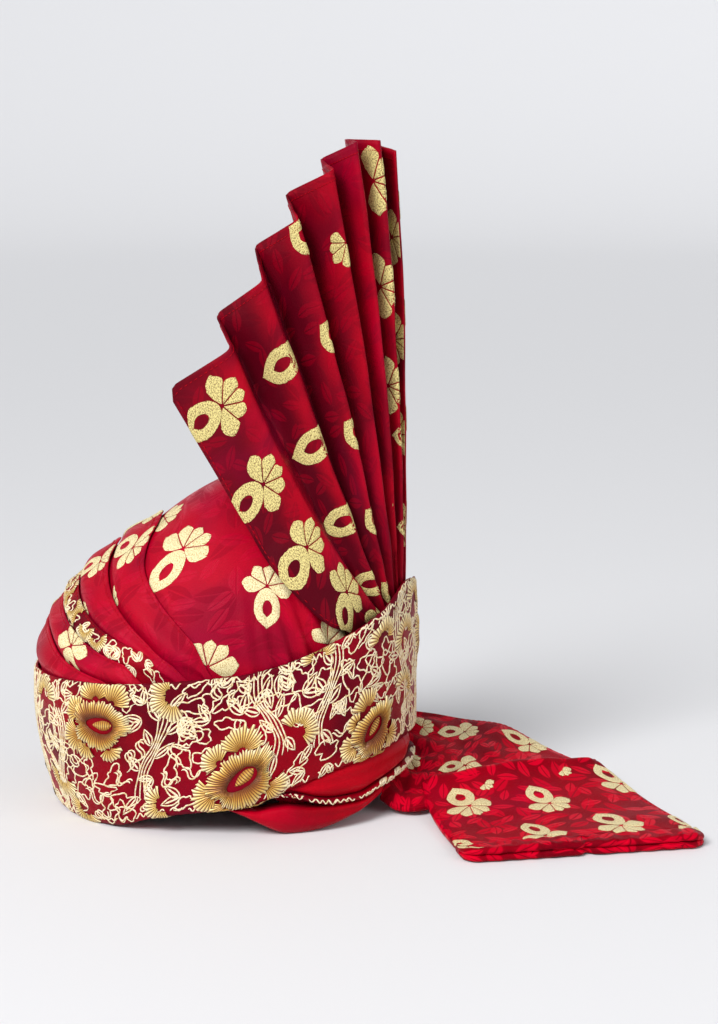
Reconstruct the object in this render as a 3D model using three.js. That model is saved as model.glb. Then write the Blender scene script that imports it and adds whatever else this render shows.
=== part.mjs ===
import * as THREE from "three";
import { mergeVertices } from "three/addons/utils/BufferGeometryUtils.js";

// Tied turban with a standing pleated fan and a tail lying on the table. Millimetres, +Z up.
// Front of the wearer is -X, the wearer's left side is -Y. The head opening is at the bottom.

// Head size
const headLength = 204;
const headWidth = 165;
const crownHeight = 217;
const clearance = 0.4;

// Crown
const crownWall = 3;

// Wound base and band
const bandThickness = 2.6;
const bandFootDepth = 14.5;
const bandRearDepth = 18;
const bandSideDepth = 13;
const layerGap = 0.8;
const bandHeight = 90;
const bandPeakHeight = 152;
const bandPeakAngle = 162;
const bandRearLift = 48;

// Folds over the forehead, inner to outer
// thick is a share of the fold thickness, tops are shares of the crown height
const foldPadding = 4;
const foldEndThinning = 0.65;
const foldTaperAngle = 34;
const foldHiddenShare = 0.5;
const foldRoundness = 5;
const folds = [
  { name: "wrap_fold_5", kind: "cloth", thick: 0.9, end: 90, hidden: 5,
    tops: [0.88, 0.87, 0.825, 0.76, 0.69, 0.62, 0.515] },
  { name: "wrap_fold_4", kind: "cloth", thick: 1, end: 82.5, hidden: 4,
    tops: [0.8, 0.765, 0.72, 0.655, 0.58, 0.51, 0.48] },
  { name: "wrap_trim", kind: "trim", thick: 0.55, end: 75, hidden: 3,
    tops: [0.7, 0.673, 0.631, 0.585, 0.548, 0.51, 0.48] },
  { name: "wrap_fold_2", kind: "cloth", thick: 1, end: 67.5, hidden: 2,
    tops: [0.631, 0.608, 0.571, 0.53, 0.498, 0.475, 0.45] },
  { name: "wrap_fold_1", kind: "cloth", thick: 1.15, end: 60, hidden: 1,
    tops: [0.562, 0.539, 0.488, 0.46, 0.438, 0.424, 0.415] },
];
const foldAngles = [0, 15, 30, 45, 60, 72, 86];

// Rolls under the band at the back
const rollUpperStart = 105;
const rollStart = 100;
const rolls = [
  { side: "near", turn: 1, upperEnd: 175, trimEnd: 180, lowerEnd: 150 },
  { side: "far", turn: -1, upperEnd: 140, trimEnd: 140, lowerEnd: 140 },
];
const rollBulge = 1.6;
const trimHeight = 4.6;
const trimThickness = 2;

// Fan: x is a share of the spread, z of the rise, ridgeY of the crown half width, bow of the rise
const fanThickness = 1.6;
const fanSeatHeight = 86;
const fanSpread = 153;
const fanRise = 304;
const fanDepth = 22;
const fanRows = 8;
const fanBelly = 0.05;
const fanBundleFrom = 149;
const fanBundleTo = 167;
const fanPleats = [
  { valleyX: 1, valleyZ: 0.493, ridgeX: 0.725, ridgeZ: 0.582, ridgeY: 0.77, bow: 0.026, clear: 0.9 },
  { valleyX: 0.797, valleyZ: 0.645, ridgeX: 0.595, ridgeZ: 0.72, ridgeY: 0.75, bow: 0, clear: 0.73 },
  { valleyX: 0.64, valleyZ: 0.783, ridgeX: 0.451, ridgeZ: 0.845, ridgeY: 0.7, bow: -0.01, clear: 0.5 },
  { valleyX: 0.51, valleyZ: 0.891, ridgeX: 0.314, ridgeZ: 0.941, ridgeY: 0.63, bow: -0.013, clear: 0.32 },
  { valleyX: 0.366, valleyZ: 0.961, ridgeX: 0.216, ridgeZ: 0.997, ridgeY: 0.55, bow: -0.016, clear: 0.18 },
  { valleyX: 0.268, valleyZ: 1, ridgeX: 0.124, ridgeZ: 1, ridgeY: 0.445, bow: -0.016, clear: 0.09 },
  { valleyX: 0.131, valleyZ: 0.987, ridgeX: 0.059, ridgeZ: 0.977, ridgeY: 0.305, bow: -0.01, clear: 0 },
];
// Free edge of the first pleat over the crown: height is a share of the crown height
const fanEdgeStandOff = 6;
const fanFreeEdge = [
  { angle: 141, height: 0.56, off: 1 },
  { angle: 134, height: 0.58, off: 1.1 },
  { angle: 126, height: 0.61, off: 0.9 },
  { angle: 113, height: 0.72, off: 0.7 },
  { angle: 105, height: 0.8, off: 1.1 },
];
const fanEdgeCrownShare = 0.45;

// Tail: x is a share of the reach, y of the width, z and arch of the lift, bow of the reach
// Its lift follows the band's lift at the back, where the tail comes out
const tailThickness = 6;
const tailHemThickness = 9;
const tailReach = 200;
const tailWidth = 160;
const tailLift = bandRearLift * 0.75;
const tailColumns = ["along", "nearX", "nearY", "nearZ", "farX", "farY", "farZ", "arch", "bow"];
const tailStations = [
  [0.0, -0.02, -0.29, 0.14, -0.02, 0.29, 0.92, 0.33, 0.055],
  [0.07, 0.03, -0.34, 0.03, 0.055, 0.3, 1.03, 0, 0.04],
  [0.15, 0.09, -0.36, 0.03, 0.16, 0.31, 0.97, 0, 0.02],
  [0.25, 0.14, -0.325, 0.03, 0.29, 0.425, 0.69, 0.11, 0],
  [0.36, 0.165, -0.26, 0.06, 0.425, 0.525, 0.44, 0.11, 0],
  [0.46, 0.15, -0.21, 0.11, 0.555, 0.375, 0.22, 0.03, 0],
  [0.52, 0.13, -0.18, 0.22, 0.68, 0.19, 0.14, 0.03, 0],
  [0.57, 0.12, -0.225, 0.28, 0.725, 0.12, 0.25, 0.11, 0],
  [0.64, 0.135, -0.356, 0.08, 0.785, -0.02, 0.11, 0.08, 0],
  [0.76, 0.165, -0.55, 0, 0.865, -0.25, 0, 0.03, 0],
  [0.88, 0.2, -0.74, 0, 0.95, -0.51, 0, 0, 0],
  [1.0, 0.23, -0.91, 0, 1.005, -0.725, 0, 0, 0],
].map((row) => Object.fromEntries(row.map((value, i) => [tailColumns[i], value])));

const radians = Math.PI / 180;
const clamp = (v, low, high) => Math.min(high, Math.max(low, v));
const smooth = (v) => v * v * (3 - 2 * v);
const ramp = (v, from, to) => smooth(clamp((v - from) / (to - from), 0, 1));
const mix = (a, b, t) => a + (b - a) * t;

// Linear table look-up
function table(rows, x) {
  if (x <= rows[0][0]) {
    return rows[0][1];
  }
  for (let i = 1; i < rows.length; i += 1) {
    if (x <= rows[i][0]) {
      const t = (x - rows[i - 1][0]) / (rows[i][0] - rows[i - 1][0]);
      return mix(rows[i - 1][1], rows[i][1], t);
    }
  }
  return rows[rows.length - 1][1];
}

// Table look-up with rounded corners
function softTable(rows, x, width) {
  return (table(rows, x - width) + 2 * table(rows, x) + table(rows, x + width)) / 4;
}

// Smooth curve through table values
function curve(values, t) {
  const s = clamp(t, 0, 1) * (values.length - 1);
  const i = Math.min(values.length - 2, Math.floor(s));
  const f = s - i;
  const p0 = values[Math.max(0, i - 1)];
  const p1 = values[i];
  const p2 = values[i + 1];
  const p3 = values[Math.min(values.length - 1, i + 2)];
  const a = 2 * p1 + (p2 - p0) * f;
  const b = (2 * p0 - 5 * p1 + 4 * p2 - p3) * f * f;
  const c = (3 * p1 - p0 - 3 * p2 + p3) * f * f * f;
  return 0.5 * (a + b + c);
}

// Angle from the front, folded to 0 to 180 so that both sides match
function fromFront(angle) {
  const a = ((angle % 360) + 360) % 360;
  return a > 180 ? 360 - a : a;
}

// Crown profile: level is a share of the crown height, the rest are shares of the half sizes
const crownLevels = [
  { level: 0.0, front: 1.0, rear: 0.97, side: 1.0 },
  { level: 0.14, front: 1.01, rear: 0.985, side: 1.02 },
  { level: 0.28, front: 1.01, rear: 0.99, side: 1.045 },
  { level: 0.42, front: 1.0, rear: 0.99, side: 1.06 },
  { level: 0.52, front: 0.985, rear: 0.985, side: 1.05 },
  { level: 0.6, front: 0.935, rear: 0.965, side: 1.015 },
  { level: 0.67, front: 0.855, rear: 0.93, side: 0.96 },
  { level: 0.74, front: 0.735, rear: 0.87, side: 0.88 },
  { level: 0.81, front: 0.58, rear: 0.79, side: 0.77 },
  { level: 0.87, front: 0.43, rear: 0.69, side: 0.65 },
  { level: 0.92, front: 0.29, rear: 0.58, side: 0.52 },
  { level: 0.96, front: 0.15, rear: 0.45, side: 0.37 },
  { level: 0.985, front: 0.03, rear: 0.31, side: 0.22 },
  { level: 1.0, front: -0.12, rear: 0.12, side: 0.0 },
];
const crownFront = headLength / 2 + crownWall;
const crownSide = headWidth / 2 + crownWall;

function levelValue(key, height) {
  const level = clamp(height / crownHeight, 0, 1);
  let i = 1;
  while (i < crownLevels.length - 1 && crownLevels[i].level < level) {
    i += 1;
  }
  const low = crownLevels[i - 1];
  const high = crownLevels[i];
  const t = clamp((level - low.level) / (high.level - low.level), 0, 1);
  return mix(low[key], high[key], t);
}

// Point on the outer face of the crown, set in or out by an offset along the face normal
function crownPoint(angle, height, offset) {
  const at = (a, h) => {
    const c = Math.cos(a * radians);
    const s = Math.sin(a * radians);
    const reach = c > 0 ? levelValue("front", h) : levelValue("rear", h);
    return new THREE.Vector3(-crownFront * reach * c, -crownSide * levelValue("side", h) * s, h);
  };
  const p = at(angle, height);
  if (offset === 0) {
    return p;
  }
  const low = Math.max(0, height - 4);
  const high = Math.min(crownHeight * 0.985, height + 4);
  const up = at(angle, high).sub(at(angle, low));
  const round = at(angle + 3, height).sub(at(angle - 3, height));
  const normal = round.cross(up).normalize();
  const outward = new THREE.Vector3(p.x, p.y, 0);
  if (normal.dot(outward) < 0) {
    normal.negate();
  }
  return p.addScaledVector(normal, offset);
}

// Point on the crown whose set-out surface is at a wanted height
function crownPointAt(angle, height, offset) {
  let base = height;
  for (let i = 0; i < 8; i += 1) {
    const got = crownPoint(angle, base, offset);
    base = clamp(base + (height - got.z) * 0.7, 0, crownHeight * 0.98);
  }
  return crownPoint(angle, base, offset);
}

// Closed mesh from two grids of points, outer and inner, each a list of columns
function shell(outer, inner, ring, capOuter, capInner) {
  const columns = outer.length;
  const rows = outer[0].length;
  const points = [];
  const faces = [];
  const index = (side, i, j) => side * columns * rows + (i % columns) * rows + j;
  for (const grid of [outer, inner]) {
    for (const column of grid) {
      points.push(...column);
    }
  }
  const quad = (a, b, c, d) => faces.push([a, b, c], [a, c, d]);
  const last = ring ? columns : columns - 1;
  for (let i = 0; i < last; i += 1) {
    for (let j = 0; j < rows - 1; j += 1) {
      quad(index(0, i, j), index(0, i + 1, j), index(0, i + 1, j + 1), index(0, i, j + 1));
      quad(index(1, i, j), index(1, i, j + 1), index(1, i + 1, j + 1), index(1, i + 1, j));
    }
    quad(index(0, i, 0), index(1, i, 0), index(1, i + 1, 0), index(0, i + 1, 0));
    if (!capOuter) {
      const t = rows - 1;
      quad(index(0, i, t), index(0, i + 1, t), index(1, i + 1, t), index(1, i, t));
    }
  }
  if (capOuter) {
    points.push(capOuter, capInner);
    const t = rows - 1;
    for (let i = 0; i < last; i += 1) {
      faces.push([index(0, i, t), index(0, i + 1, t), points.length - 2]);
      faces.push([index(1, i + 1, t), index(1, i, t), points.length - 1]);
    }
  }
  if (!ring) {
    const e = columns - 1;
    for (let j = 0; j < rows - 1; j += 1) {
      quad(index(0, 0, j), index(0, 0, j + 1), index(1, 0, j + 1), index(1, 0, j));
      quad(index(0, e, j), index(1, e, j), index(1, e, j + 1), index(0, e, j + 1));
    }
  }
  return geometryOf(points, faces);
}

// Geometry with its faces turned outward
function geometryOf(points, faces) {
  let volume = 0;
  for (const [a, b, c] of faces) {
    volume += points[a].dot(new THREE.Vector3().crossVectors(points[b], points[c]));
  }
  const positions = points.flatMap((p) => [p.x, p.y, p.z]);
  const order = faces.flatMap(([a, b, c]) => (volume > 0 ? [a, b, c] : [a, c, b]));
  const geometry = new THREE.BufferGeometry();
  geometry.setAttribute("position", new THREE.Float32BufferAttribute(positions, 3));
  geometry.setIndex(order);
  return mergeVertices(geometry, 1e-4);
}

const materials = {
  cloth: new THREE.MeshStandardMaterial({ color: 0xb3122c, roughness: 0.55, metalness: 0 }),
  trim: new THREE.MeshStandardMaterial({ color: 0x8a1420, roughness: 0.6, metalness: 0 }),
  band: new THREE.MeshStandardMaterial({ color: 0xb98a4a, roughness: 0.55, metalness: 0 }),
};
const group = new THREE.Group();

function add(name, geometry, kind) {
  const mesh = new THREE.Mesh(geometry, materials[kind]);
  mesh.name = name;
  group.add(mesh);
}

// Lower edge of everything at the back, lifted where the tail comes out
function rimHeight(angle) {
  return bandRearLift * table([[0, 0.02], [120, 0.02], [145, 0.12], [180, 0.17]], fromFront(angle));
}

// Crown: a soft cap over the whole head
function makeCrown() {
  const columns = 48;
  const levels = crownLevels.slice(1, -1).map((row) => row.level * crownHeight);
  const outer = [];
  const inner = [];
  for (let i = 0; i < columns; i += 1) {
    const angle = (i * 360) / columns;
    const foot = rimHeight(angle);
    const heights = [foot, ...levels.map((h) => Math.max(h, foot + 4))];
    heights[1] = Math.max(heights[1], foot + 6);
    outer.push(heights.map((h) => crownPoint(angle, h, 0)));
    inner.push(heights.map((h) => crownPoint(angle, h, -crownWall)));
  }
  const top = new THREE.Vector3(crownFront * 0.13, 0, crownHeight);
  add("crown", shell(outer, inner, true, top, top.clone().setZ(crownHeight - crownWall)), "cloth");
}

// Band outer face
const bandTop = (angle) => {
  const a = ((angle % 360) + 360) % 360;
  const rise = [
    [-22, 0.06], [0, 0], [22, 0.06], [45, 0.11], [75, 0.19], [93, 0.23], [110, 0.32], [130, 0.55],
    [142, 0.71], [152, 0.87], [bandPeakAngle, 1], [180, 0.92], [200, 0.66], [225, 0.39],
    [260, 0.23], [300, 0.15], [338, 0.06], [360, 0], [382, 0.06],
  ];
  return mix(bandHeight, bandPeakHeight, softTable(rise, a, 4));
};
const bandFoot = (angle) => {
  const lift = [
    [0, 0.04], [20, 0.01], [36, 0], [50, 0.02], [68, 0.23], [84, 0.35], [99, 0.44], [105, 0.54],
    [116, 0.69], [127, 0.83], [140, 0.92], [159, 1], [180, 1],
  ];
  return bandRearLift * table(lift, fromFront(angle));
};
const foldFoot = () => bandHeight * 0.89;

// Thickness of a fold, thinner toward its two ends
function foldThickness(fold, angle) {
  const a = Math.abs(angle);
  const taper = ramp(a, fold.end - foldTaperAngle, fold.end);
  return foldPadding * fold.thick * (1 - foldEndThinning * taper);
}

// Depth of all the folds together over the crown
function stackDepth(angle) {
  const a = fromFront(angle);
  let depth = clearance * 2.5;
  for (const fold of folds) {
    const fade = 1 - ramp(a, fold.end - 2, fold.end + 14);
    depth += (foldThickness(fold, Math.min(a, fold.end)) + layerGap) * fade;
  }
  return depth;
}

// How far the band's outer face stands off the crown
function bandStandOff(angle, share) {
  const a = fromFront(angle);
  const rim = stackDepth(angle) + layerGap + bandThickness;
  const foot = mix(bandFootDepth, bandSideDepth, ramp(a, 20, 90));
  const low = mix(foot, rim, Math.sqrt(ramp(share, 0, 0.88)));
  const side = mix(bandSideDepth, rim, ramp(share, 0.35, 0.95));
  const front = mix(low, side, ramp(a, 45, 90));
  return mix(front, bandRearDepth, ramp(a, 108, 150));
}

// Point on the band's outer face, set in by an amount
function bandPoint(angle, height, inset) {
  const low = bandFoot(angle);
  const share = clamp((height - low) / (bandTop(angle) - low), 0, 1);
  const out = bandStandOff(angle, share) - inset;
  const base = crownPoint(angle, Math.min(height, crownHeight * 0.5), 0);
  const flat = new THREE.Vector3(
    base.x / crownFront ** 2,
    base.y / crownSide ** 2,
    0,
  ).normalize();
  return new THREE.Vector3(base.x + flat.x * out, base.y + flat.y * out, height);
}

function makeBand() {
  const columns = 48;
  const rows = 6;
  const outer = [];
  const inner = [];
  for (let i = 0; i < columns; i += 1) {
    const angle = (i * 360) / columns;
    const low = bandFoot(angle);
    const high = bandTop(angle);
    const shares = Array.from({ length: rows + 1 }, (_, j) => j / rows);
    outer.push(shares.map((s) => bandPoint(angle, mix(low, high, s), 0)));
    inner.push(shares.map((s) => bandPoint(angle, mix(low, high, s), bandThickness)));
  }
  add("band", shell(outer, inner, true), "band");
}

// Wound cloth between the crown and the band
function makeBase() {
  const columns = 48;
  const outer = [];
  const inner = [];
  for (let i = 0; i < columns; i += 1) {
    const angle = (i * 360) / columns;
    const low = bandFoot(angle);
    const high = bandTop(angle);
    const side = foldFoot() - 1.5 * clearance;
    const rear = mix(bandHeight, bandPeakHeight, 0.42);
    const top = table([
      [0, side], [130, side], [142, fanSeatHeight], [174, fanSeatHeight], [184, rear],
      [198, rear], [215, fanSeatHeight], [240, side], [360, side],
    ], angle);
    const heights = [low + clearance];
    for (let j = 1; j < 6; j += 1) {
      heights.push(Math.min(mix(low, high, j / 6), top - 1.2 * (6 - j)));
    }
    heights.push(top);
    outer.push(heights.map((h) => bandPoint(angle, h, bandThickness + 2 * clearance)));
    inner.push(heights.map((h) => crownPoint(angle, h, 1.5 * clearance)));
  }
  add("base_wrap", shell(outer, inner, true), "cloth");
}

// Folds over the forehead
function foldTop(fold, angle) {
  const a = Math.abs(angle);
  const rows = foldAngles.map((v, i) => [v, fold.tops[i]]);
  return crownHeight * softTable(rows, a, 5);
}

function makeFolds() {
  folds.forEach((fold, index) => {
    const next = folds[index + 1];
    const columns = Math.round(fold.end / 7.5) * 2 + 1;
    const outer = [];
    const inner = [];
    for (let i = 0; i < columns; i += 1) {
      const angle = mix(-fold.end, fold.end, i / (columns - 1));
      let low = layerGap * (index + 1) + clearance * (index > 0 ? 2.5 : 1.5);
      for (const under of folds.slice(0, index)) {
        low += foldThickness(under, angle);
      }
      const thick = foldThickness(fold, angle);
      const top = Math.max(foldTop(fold, angle), foldFoot() + 10);
      const covered = next ? Math.min(foldTop(next, angle), top - 7) : bandTop(angle);
      const cover = clamp(covered - 6, foldFoot() + 4, top - 4);
      const drops = [0, 1, foldRoundness * 0.6].map((d) => Math.min(d, (top - cover) * 0.4));
      const rise = [0.35, 0.75, 1];
      const outerColumn = [];
      const innerColumn = [];
      drops.forEach((d, j) => {
        const mid = low + thick / 2;
        outerColumn.push(crownPointAt(angle, top - d, mid + (thick / 2) * rise[j]));
        innerColumn.push(crownPointAt(angle, top - d, mid - (thick / 2) * rise[j]));
      });
      const shown = top - drops[2];
      for (const s of [0.5, 1]) {
        const h = mix(shown, cover, s);
        outerColumn.push(crownPointAt(angle, h, low + thick));
        innerColumn.push(crownPointAt(angle, h, low));
      }
      for (let j = 1; j <= fold.hidden; j += 1) {
        const h = mix(cover, foldFoot(), j / fold.hidden);
        outerColumn.push(crownPointAt(angle, h, low + thick * foldHiddenShare));
        innerColumn.push(crownPointAt(angle, h, low));
      }
      outer.push(outerColumn);
      inner.push(innerColumn);
    }
    add(fold.name, shell(outer, inner, false), fold.kind);
  });
}

// Rolls and trim under the band at the back
const seamHeight = (angle) => {
  const rows = [
    [100, 0.34], [105, 0.4], [110, 0.43], [115, 0.4], [120, 0.38], [135, 0.38], [145, 0.48],
    [160, 0.58], [180, 0.67],
  ];
  return bandRearLift * table(rows, fromFront(angle));
};

function crescent(name, kind, low, high, innerPoint, bulge, from, to) {
  const columns = Math.round(Math.abs(to - from) / 5);
  const outer = [];
  const inner = [];
  const swell = (s) => bulge - 3.2 * (2 * s - 1) ** 4;
  for (let i = 0; i <= columns; i += 1) {
    const angle = mix(from, to, i / columns);
    const bottom = low(angle);
    const top = Math.max(high(angle), bottom + 1.4);
    const shares = [0, 0.17, 0.5, 0.83, 1];
    outer.push(shares.map((s) => bandPoint(angle, mix(bottom, top, s), -swell(s))));
    inner.push(shares.map((s) => innerPoint(angle, mix(bottom, top, s))));
  }
  add(name, shell(outer, inner, false), kind);
}

function makeRolls() {
  const againstCrown = (angle, h) => crownPoint(angle, h, clearance).setZ(h);
  const inTrim = (angle, h) => bandPoint(angle, h, trimThickness + 3);
  const gap = clearance;
  const seamLow = (a) => seamHeight(a) - trimHeight / 2;
  const seamHigh = (a) => seamHeight(a) + trimHeight / 2;
  for (const roll of rolls) {
    const turned = (low, high) => [low * roll.turn, high * roll.turn];
    crescent(`upper_roll_${roll.side}`, "cloth", (a) => seamHigh(a) + gap,
      (a) => bandFoot(a) - gap, againstCrown, 0, ...turned(rollUpperStart, roll.upperEnd));
    crescent(`lower_trim_${roll.side}`, "trim", seamLow, seamHigh,
      inTrim, 1, ...turned(rollStart, roll.trimEnd));
    crescent(`lower_roll_${roll.side}`, "cloth", lowerRollFoot, (a) => seamLow(a) - gap,
      againstCrown, rollBulge, ...turned(rollStart, roll.lowerEnd));
  }
}

function lowerRollFoot(angle) {
  const rows = [
    [95, 0.25], [105, 0.17], [110, 0.08], [115, 0.01], [120, 0], [125, 0.01], [130, 0.06],
    [135, 0.15], [145, 0.29], [180, 0.5],
  ];
  return bandRearLift * table(rows, fromFront(angle));
}

// Fan fold lines: valleys lie against the crown, ridges against the band
function fanLines() {
  const lines = [];
  const last = 2 * fanPleats.length - 1;
  const footHeight = fanSeatHeight + clearance;
  const neckHeight = mix(bandHeight, bandPeakHeight, 0.65);
  const edge = bandPoint(fanBundleTo, neckHeight, bandThickness);
  fanPleats.forEach((pleat, i) => {
    for (const ridge of [false, true]) {
      const k = (2 * i + (ridge ? 1 : 0)) / last;
      const angle = mix(fanBundleFrom, fanBundleTo, k);
      const inset = ridge
        ? bandThickness + clearance + fanThickness * 0.9
        : bandStandOff(angle, 0.6) - fanThickness * 1.5;
      const foot = bandPoint(angle, footHeight, inset);
      const neck = bandPoint(angle, neckHeight, inset);
      const ridgeY = -crownSide * pleat.ridgeY;
      const x = edge.x - fanSpread * (ridge ? pleat.ridgeX : pleat.valleyX);
      const z = neckHeight + fanRise * (ridge ? pleat.ridgeZ : pleat.valleyZ);
      const top = new THREE.Vector3(x, ridge ? ridgeY : ridgeY + fanDepth * (i === 0 ? 0.45 : 1), z);
      lines.push({ foot, neck, top, pleat, ridge, free: i === 0 && !ridge });
    }
  });
  return lines;
}

function fanPoint(line, t) {
  const low = 0.12;
  if (t < low) {
    return line.foot.clone().lerp(line.neck, t / low);
  }
  const s = (t - low) / (1 - low);
  if (line.free) {
    // The free edge runs over the crown first, then straight to its top corner
    const over = fanFreeEdge.map((e) => (
      crownPoint(e.angle, crownHeight * e.height, fanEdgeStandOff * e.off)
    ));
    const path = [line.neck, ...over];
    const get = (key, u) => curve(path.map((p) => p[key]), u);
    const u = Math.min(1, s / fanEdgeCrownShare);
    const p = new THREE.Vector3(get("x", u), get("y", u), get("z", u));
    const v = Math.max(0, (s - fanEdgeCrownShare) / (1 - fanEdgeCrownShare));
    return p.lerp(line.top, v);
  }
  const p = line.neck.clone().lerp(line.top, s);
  const arc = 4 * s * (1 - s);
  p.x -= fanRise * line.pleat.bow * arc;
  p.y -= fanDepth * line.pleat.clear * arc * (1.3 - s) * (line.ridge ? 0.6 : 1);
  return p;
}

// Sheet with thickness from rows of points; folds are mitred and their tips kept short
function pleatedSheet(rows) {
  const count = rows[0].length;
  const half = fanThickness / 2;
  const outer = rows[0].map(() => []);
  const inner = rows[0].map(() => []);
  rows.forEach((row, j) => {
    const above = rows[Math.min(rows.length - 1, j + 1)];
    const below = rows[Math.max(0, j - 1)];
    const normals = [];
    for (let i = 0; i < count - 1; i += 1) {
      const across = row[i + 1].clone().sub(row[i]);
      const up = above[i].clone().add(above[i + 1]).sub(below[i]).sub(below[i + 1]);
      normals.push(across.cross(up).normalize());
    }
    row.forEach((p, i) => {
      const a = normals[Math.max(0, i - 1)];
      const b = normals[Math.min(count - 2, i)];
      const mitre = a.clone().add(b);
      const length = (2 * half) / Math.max(0.05, mitre.length());
      mitre.normalize();
      const before = row[Math.max(0, i - 1)];
      const after = row[Math.min(count - 1, i + 1)];
      const middle = before.clone().lerp(after, 0.5);
      const tip = p.clone().sub(middle).dot(mitre) > 0 ? 1 : -1;
      const room = 0.4 * Math.min(p.distanceTo(before) || 99, p.distanceTo(after) || 99);
      const short = Math.min(length, half * 1.15);
      const long = Math.min(length, room);
      outer[i].push(p.clone().addScaledVector(mitre, tip > 0 ? short : long));
      inner[i].push(p.clone().addScaledVector(mitre, -(tip > 0 ? long : short)));
    });
  });
  return shell(outer, inner, false);
}

function makeFan() {
  const lines = fanLines();
  const steps = [0, 0.12];
  for (let j = 1; j <= fanRows; j += 1) {
    steps.push(0.12 + (0.88 * j) / fanRows);
  }
  const rows = steps.map((t) => {
    const row = [];
    lines.forEach((line, k) => {
      const p = fanPoint(line, t);
      row.push(p);
      if (!line.ridge) {
        const q = fanPoint(lines[k + 1], t);
        const belly = fanBelly * p.distanceTo(q) * ramp(t, 0.2, 0.9);
        row.push(p.clone().lerp(q, 0.5).add(new THREE.Vector3(0, -belly, 0)));
      }
    });
    return row;
  });
  add("fan", pleatedSheet(rows), "cloth");
}

// Tail: mid surface between a near and a far edge, starting at the back of the crown
const tailRoot = crownFront * 0.97;
function tailPoint(along, across) {
  const n = tailStations.length - 1;
  let i = 1;
  while (i < n && tailStations[i].along < along) {
    i += 1;
  }
  const a = tailStations[i - 1];
  const b = tailStations[i];
  const place = (i - 1 + (along - a.along) / (b.along - a.along)) / n;
  const get = (key) => curve(tailStations.map((row) => row[key]), place);
  const side = (x, y, z) => new THREE.Vector3(
    tailRoot + tailReach * get(x),
    tailWidth * get(y),
    tailThickness / 2 + tailLift * get(z),
  );
  const p = side("nearX", "nearY", "nearZ").lerp(side("farX", "farY", "farZ"), across);
  p.x += tailReach * get("bow") * Math.sin(Math.PI * across);
  p.z += tailLift * get("arch") * Math.sin(Math.PI * across);
  return p;
}

function makeTail() {
  const columns = 26;
  const acrossSteps = [0, 0.03, 0.12, 0.27, 0.42, 0.58, 0.73, 0.88, 0.97, 1];
  const outer = [];
  const inner = [];
  for (let i = 0; i <= columns; i += 1) {
    const along = i / columns;
    const top = [];
    const bottom = [];
    for (const across of acrossSteps) {
      const d = 0.02;
      const p = tailPoint(along, across);
      const ahead = tailPoint(Math.min(1, along + d), across);
      const behind = tailPoint(Math.max(0, along - d), across);
      const farther = tailPoint(along, Math.min(1, across + d));
      const nearer = tailPoint(along, Math.max(0, across - d));
      const normal = ahead.sub(behind).cross(farther.sub(nearer)).normalize();
      if (normal.z < 0) {
        normal.negate();
      }
      const edge = Math.min(across, 1 - across) / 0.12;
      const hem = ramp(along, 0.93, 0.97);
      const full = mix(tailThickness, tailHemThickness, hem);
      const thick = full * mix(0.35, 1, Math.sqrt(Math.min(1, edge)));
      top.push(p.clone().addScaledVector(normal, thick / 2));
      const low = p.clone().addScaledVector(normal, -thick / 2);
      low.z = Math.max(0, low.z);
      bottom.push(low);
    }
    outer.push(top);
    inner.push(bottom);
  }
  add("tail", shell(outer, inner, false), "cloth");
}

makeCrown();
makeBand();
makeBase();
makeFolds();
makeRolls();
makeFan();
makeTail();

// Set the origin at the bottom centre of the whole box
const box = new THREE.Box3().setFromObject(group);
const shift = new THREE.Vector3(
  -(box.min.x + box.max.x) / 2,
  -(box.min.y + box.max.y) / 2,
  -box.min.z,
);
for (const mesh of group.children) {
  mesh.geometry.translate(shift.x, shift.y, shift.z);
}

export default group;
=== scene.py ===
import math
import random

import bmesh
import bpy
import numpy as np
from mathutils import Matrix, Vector


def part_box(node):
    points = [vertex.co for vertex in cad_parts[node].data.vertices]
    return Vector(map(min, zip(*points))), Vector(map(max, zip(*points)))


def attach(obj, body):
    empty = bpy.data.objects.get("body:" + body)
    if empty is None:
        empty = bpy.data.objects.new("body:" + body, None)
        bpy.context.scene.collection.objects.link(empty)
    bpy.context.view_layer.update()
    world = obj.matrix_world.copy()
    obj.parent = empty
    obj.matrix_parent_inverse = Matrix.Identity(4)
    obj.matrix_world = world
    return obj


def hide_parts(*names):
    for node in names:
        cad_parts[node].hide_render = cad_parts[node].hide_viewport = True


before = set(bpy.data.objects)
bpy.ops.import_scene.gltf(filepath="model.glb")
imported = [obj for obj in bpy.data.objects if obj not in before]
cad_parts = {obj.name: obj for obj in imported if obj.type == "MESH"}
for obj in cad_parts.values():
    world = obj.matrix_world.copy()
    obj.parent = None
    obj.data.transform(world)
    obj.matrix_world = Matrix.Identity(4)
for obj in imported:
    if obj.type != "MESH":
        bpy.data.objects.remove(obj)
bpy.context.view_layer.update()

# Tied turban with a standing pleated fan and a tail. Lengths here are millimetres in the hat's
# own frame (middle of the head opening, on the table) and are turned into metres in to_row().
MM = 0.001
HEAD_FRONT = 105.0  # half length and half width of the head opening
HEAD_SIDE = 85.5
CROWN = 217.0  # height of the crown, its widest share of HEAD_FRONT, and its wall
CROWN_FRONT = 1.01
WALL = 3.0
GAP = 0.4
LAYER = 0.8
BAND_THICK = 2.6
BAND_FOOT = 14.5  # stand-off of the band from the crown: at the front foot, the rear and the sides
BAND_REAR = 18.0
BAND_SIDE = 13.0
BAND_LOW = 90.0  # height of the band's top in front and at its peak
BAND_PEAK = 152.0
REAR_LIFT = 48.0  # height of the band's foot at the rear
SEWN = 0.12  # lift of the woven motifs above their cloth

low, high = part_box("crown")
SHIFT = np.array([low.x / MM + HEAD_FRONT * CROWN_FRONT, (low.y + high.y) / 2 / MM, 0.0])

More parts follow.
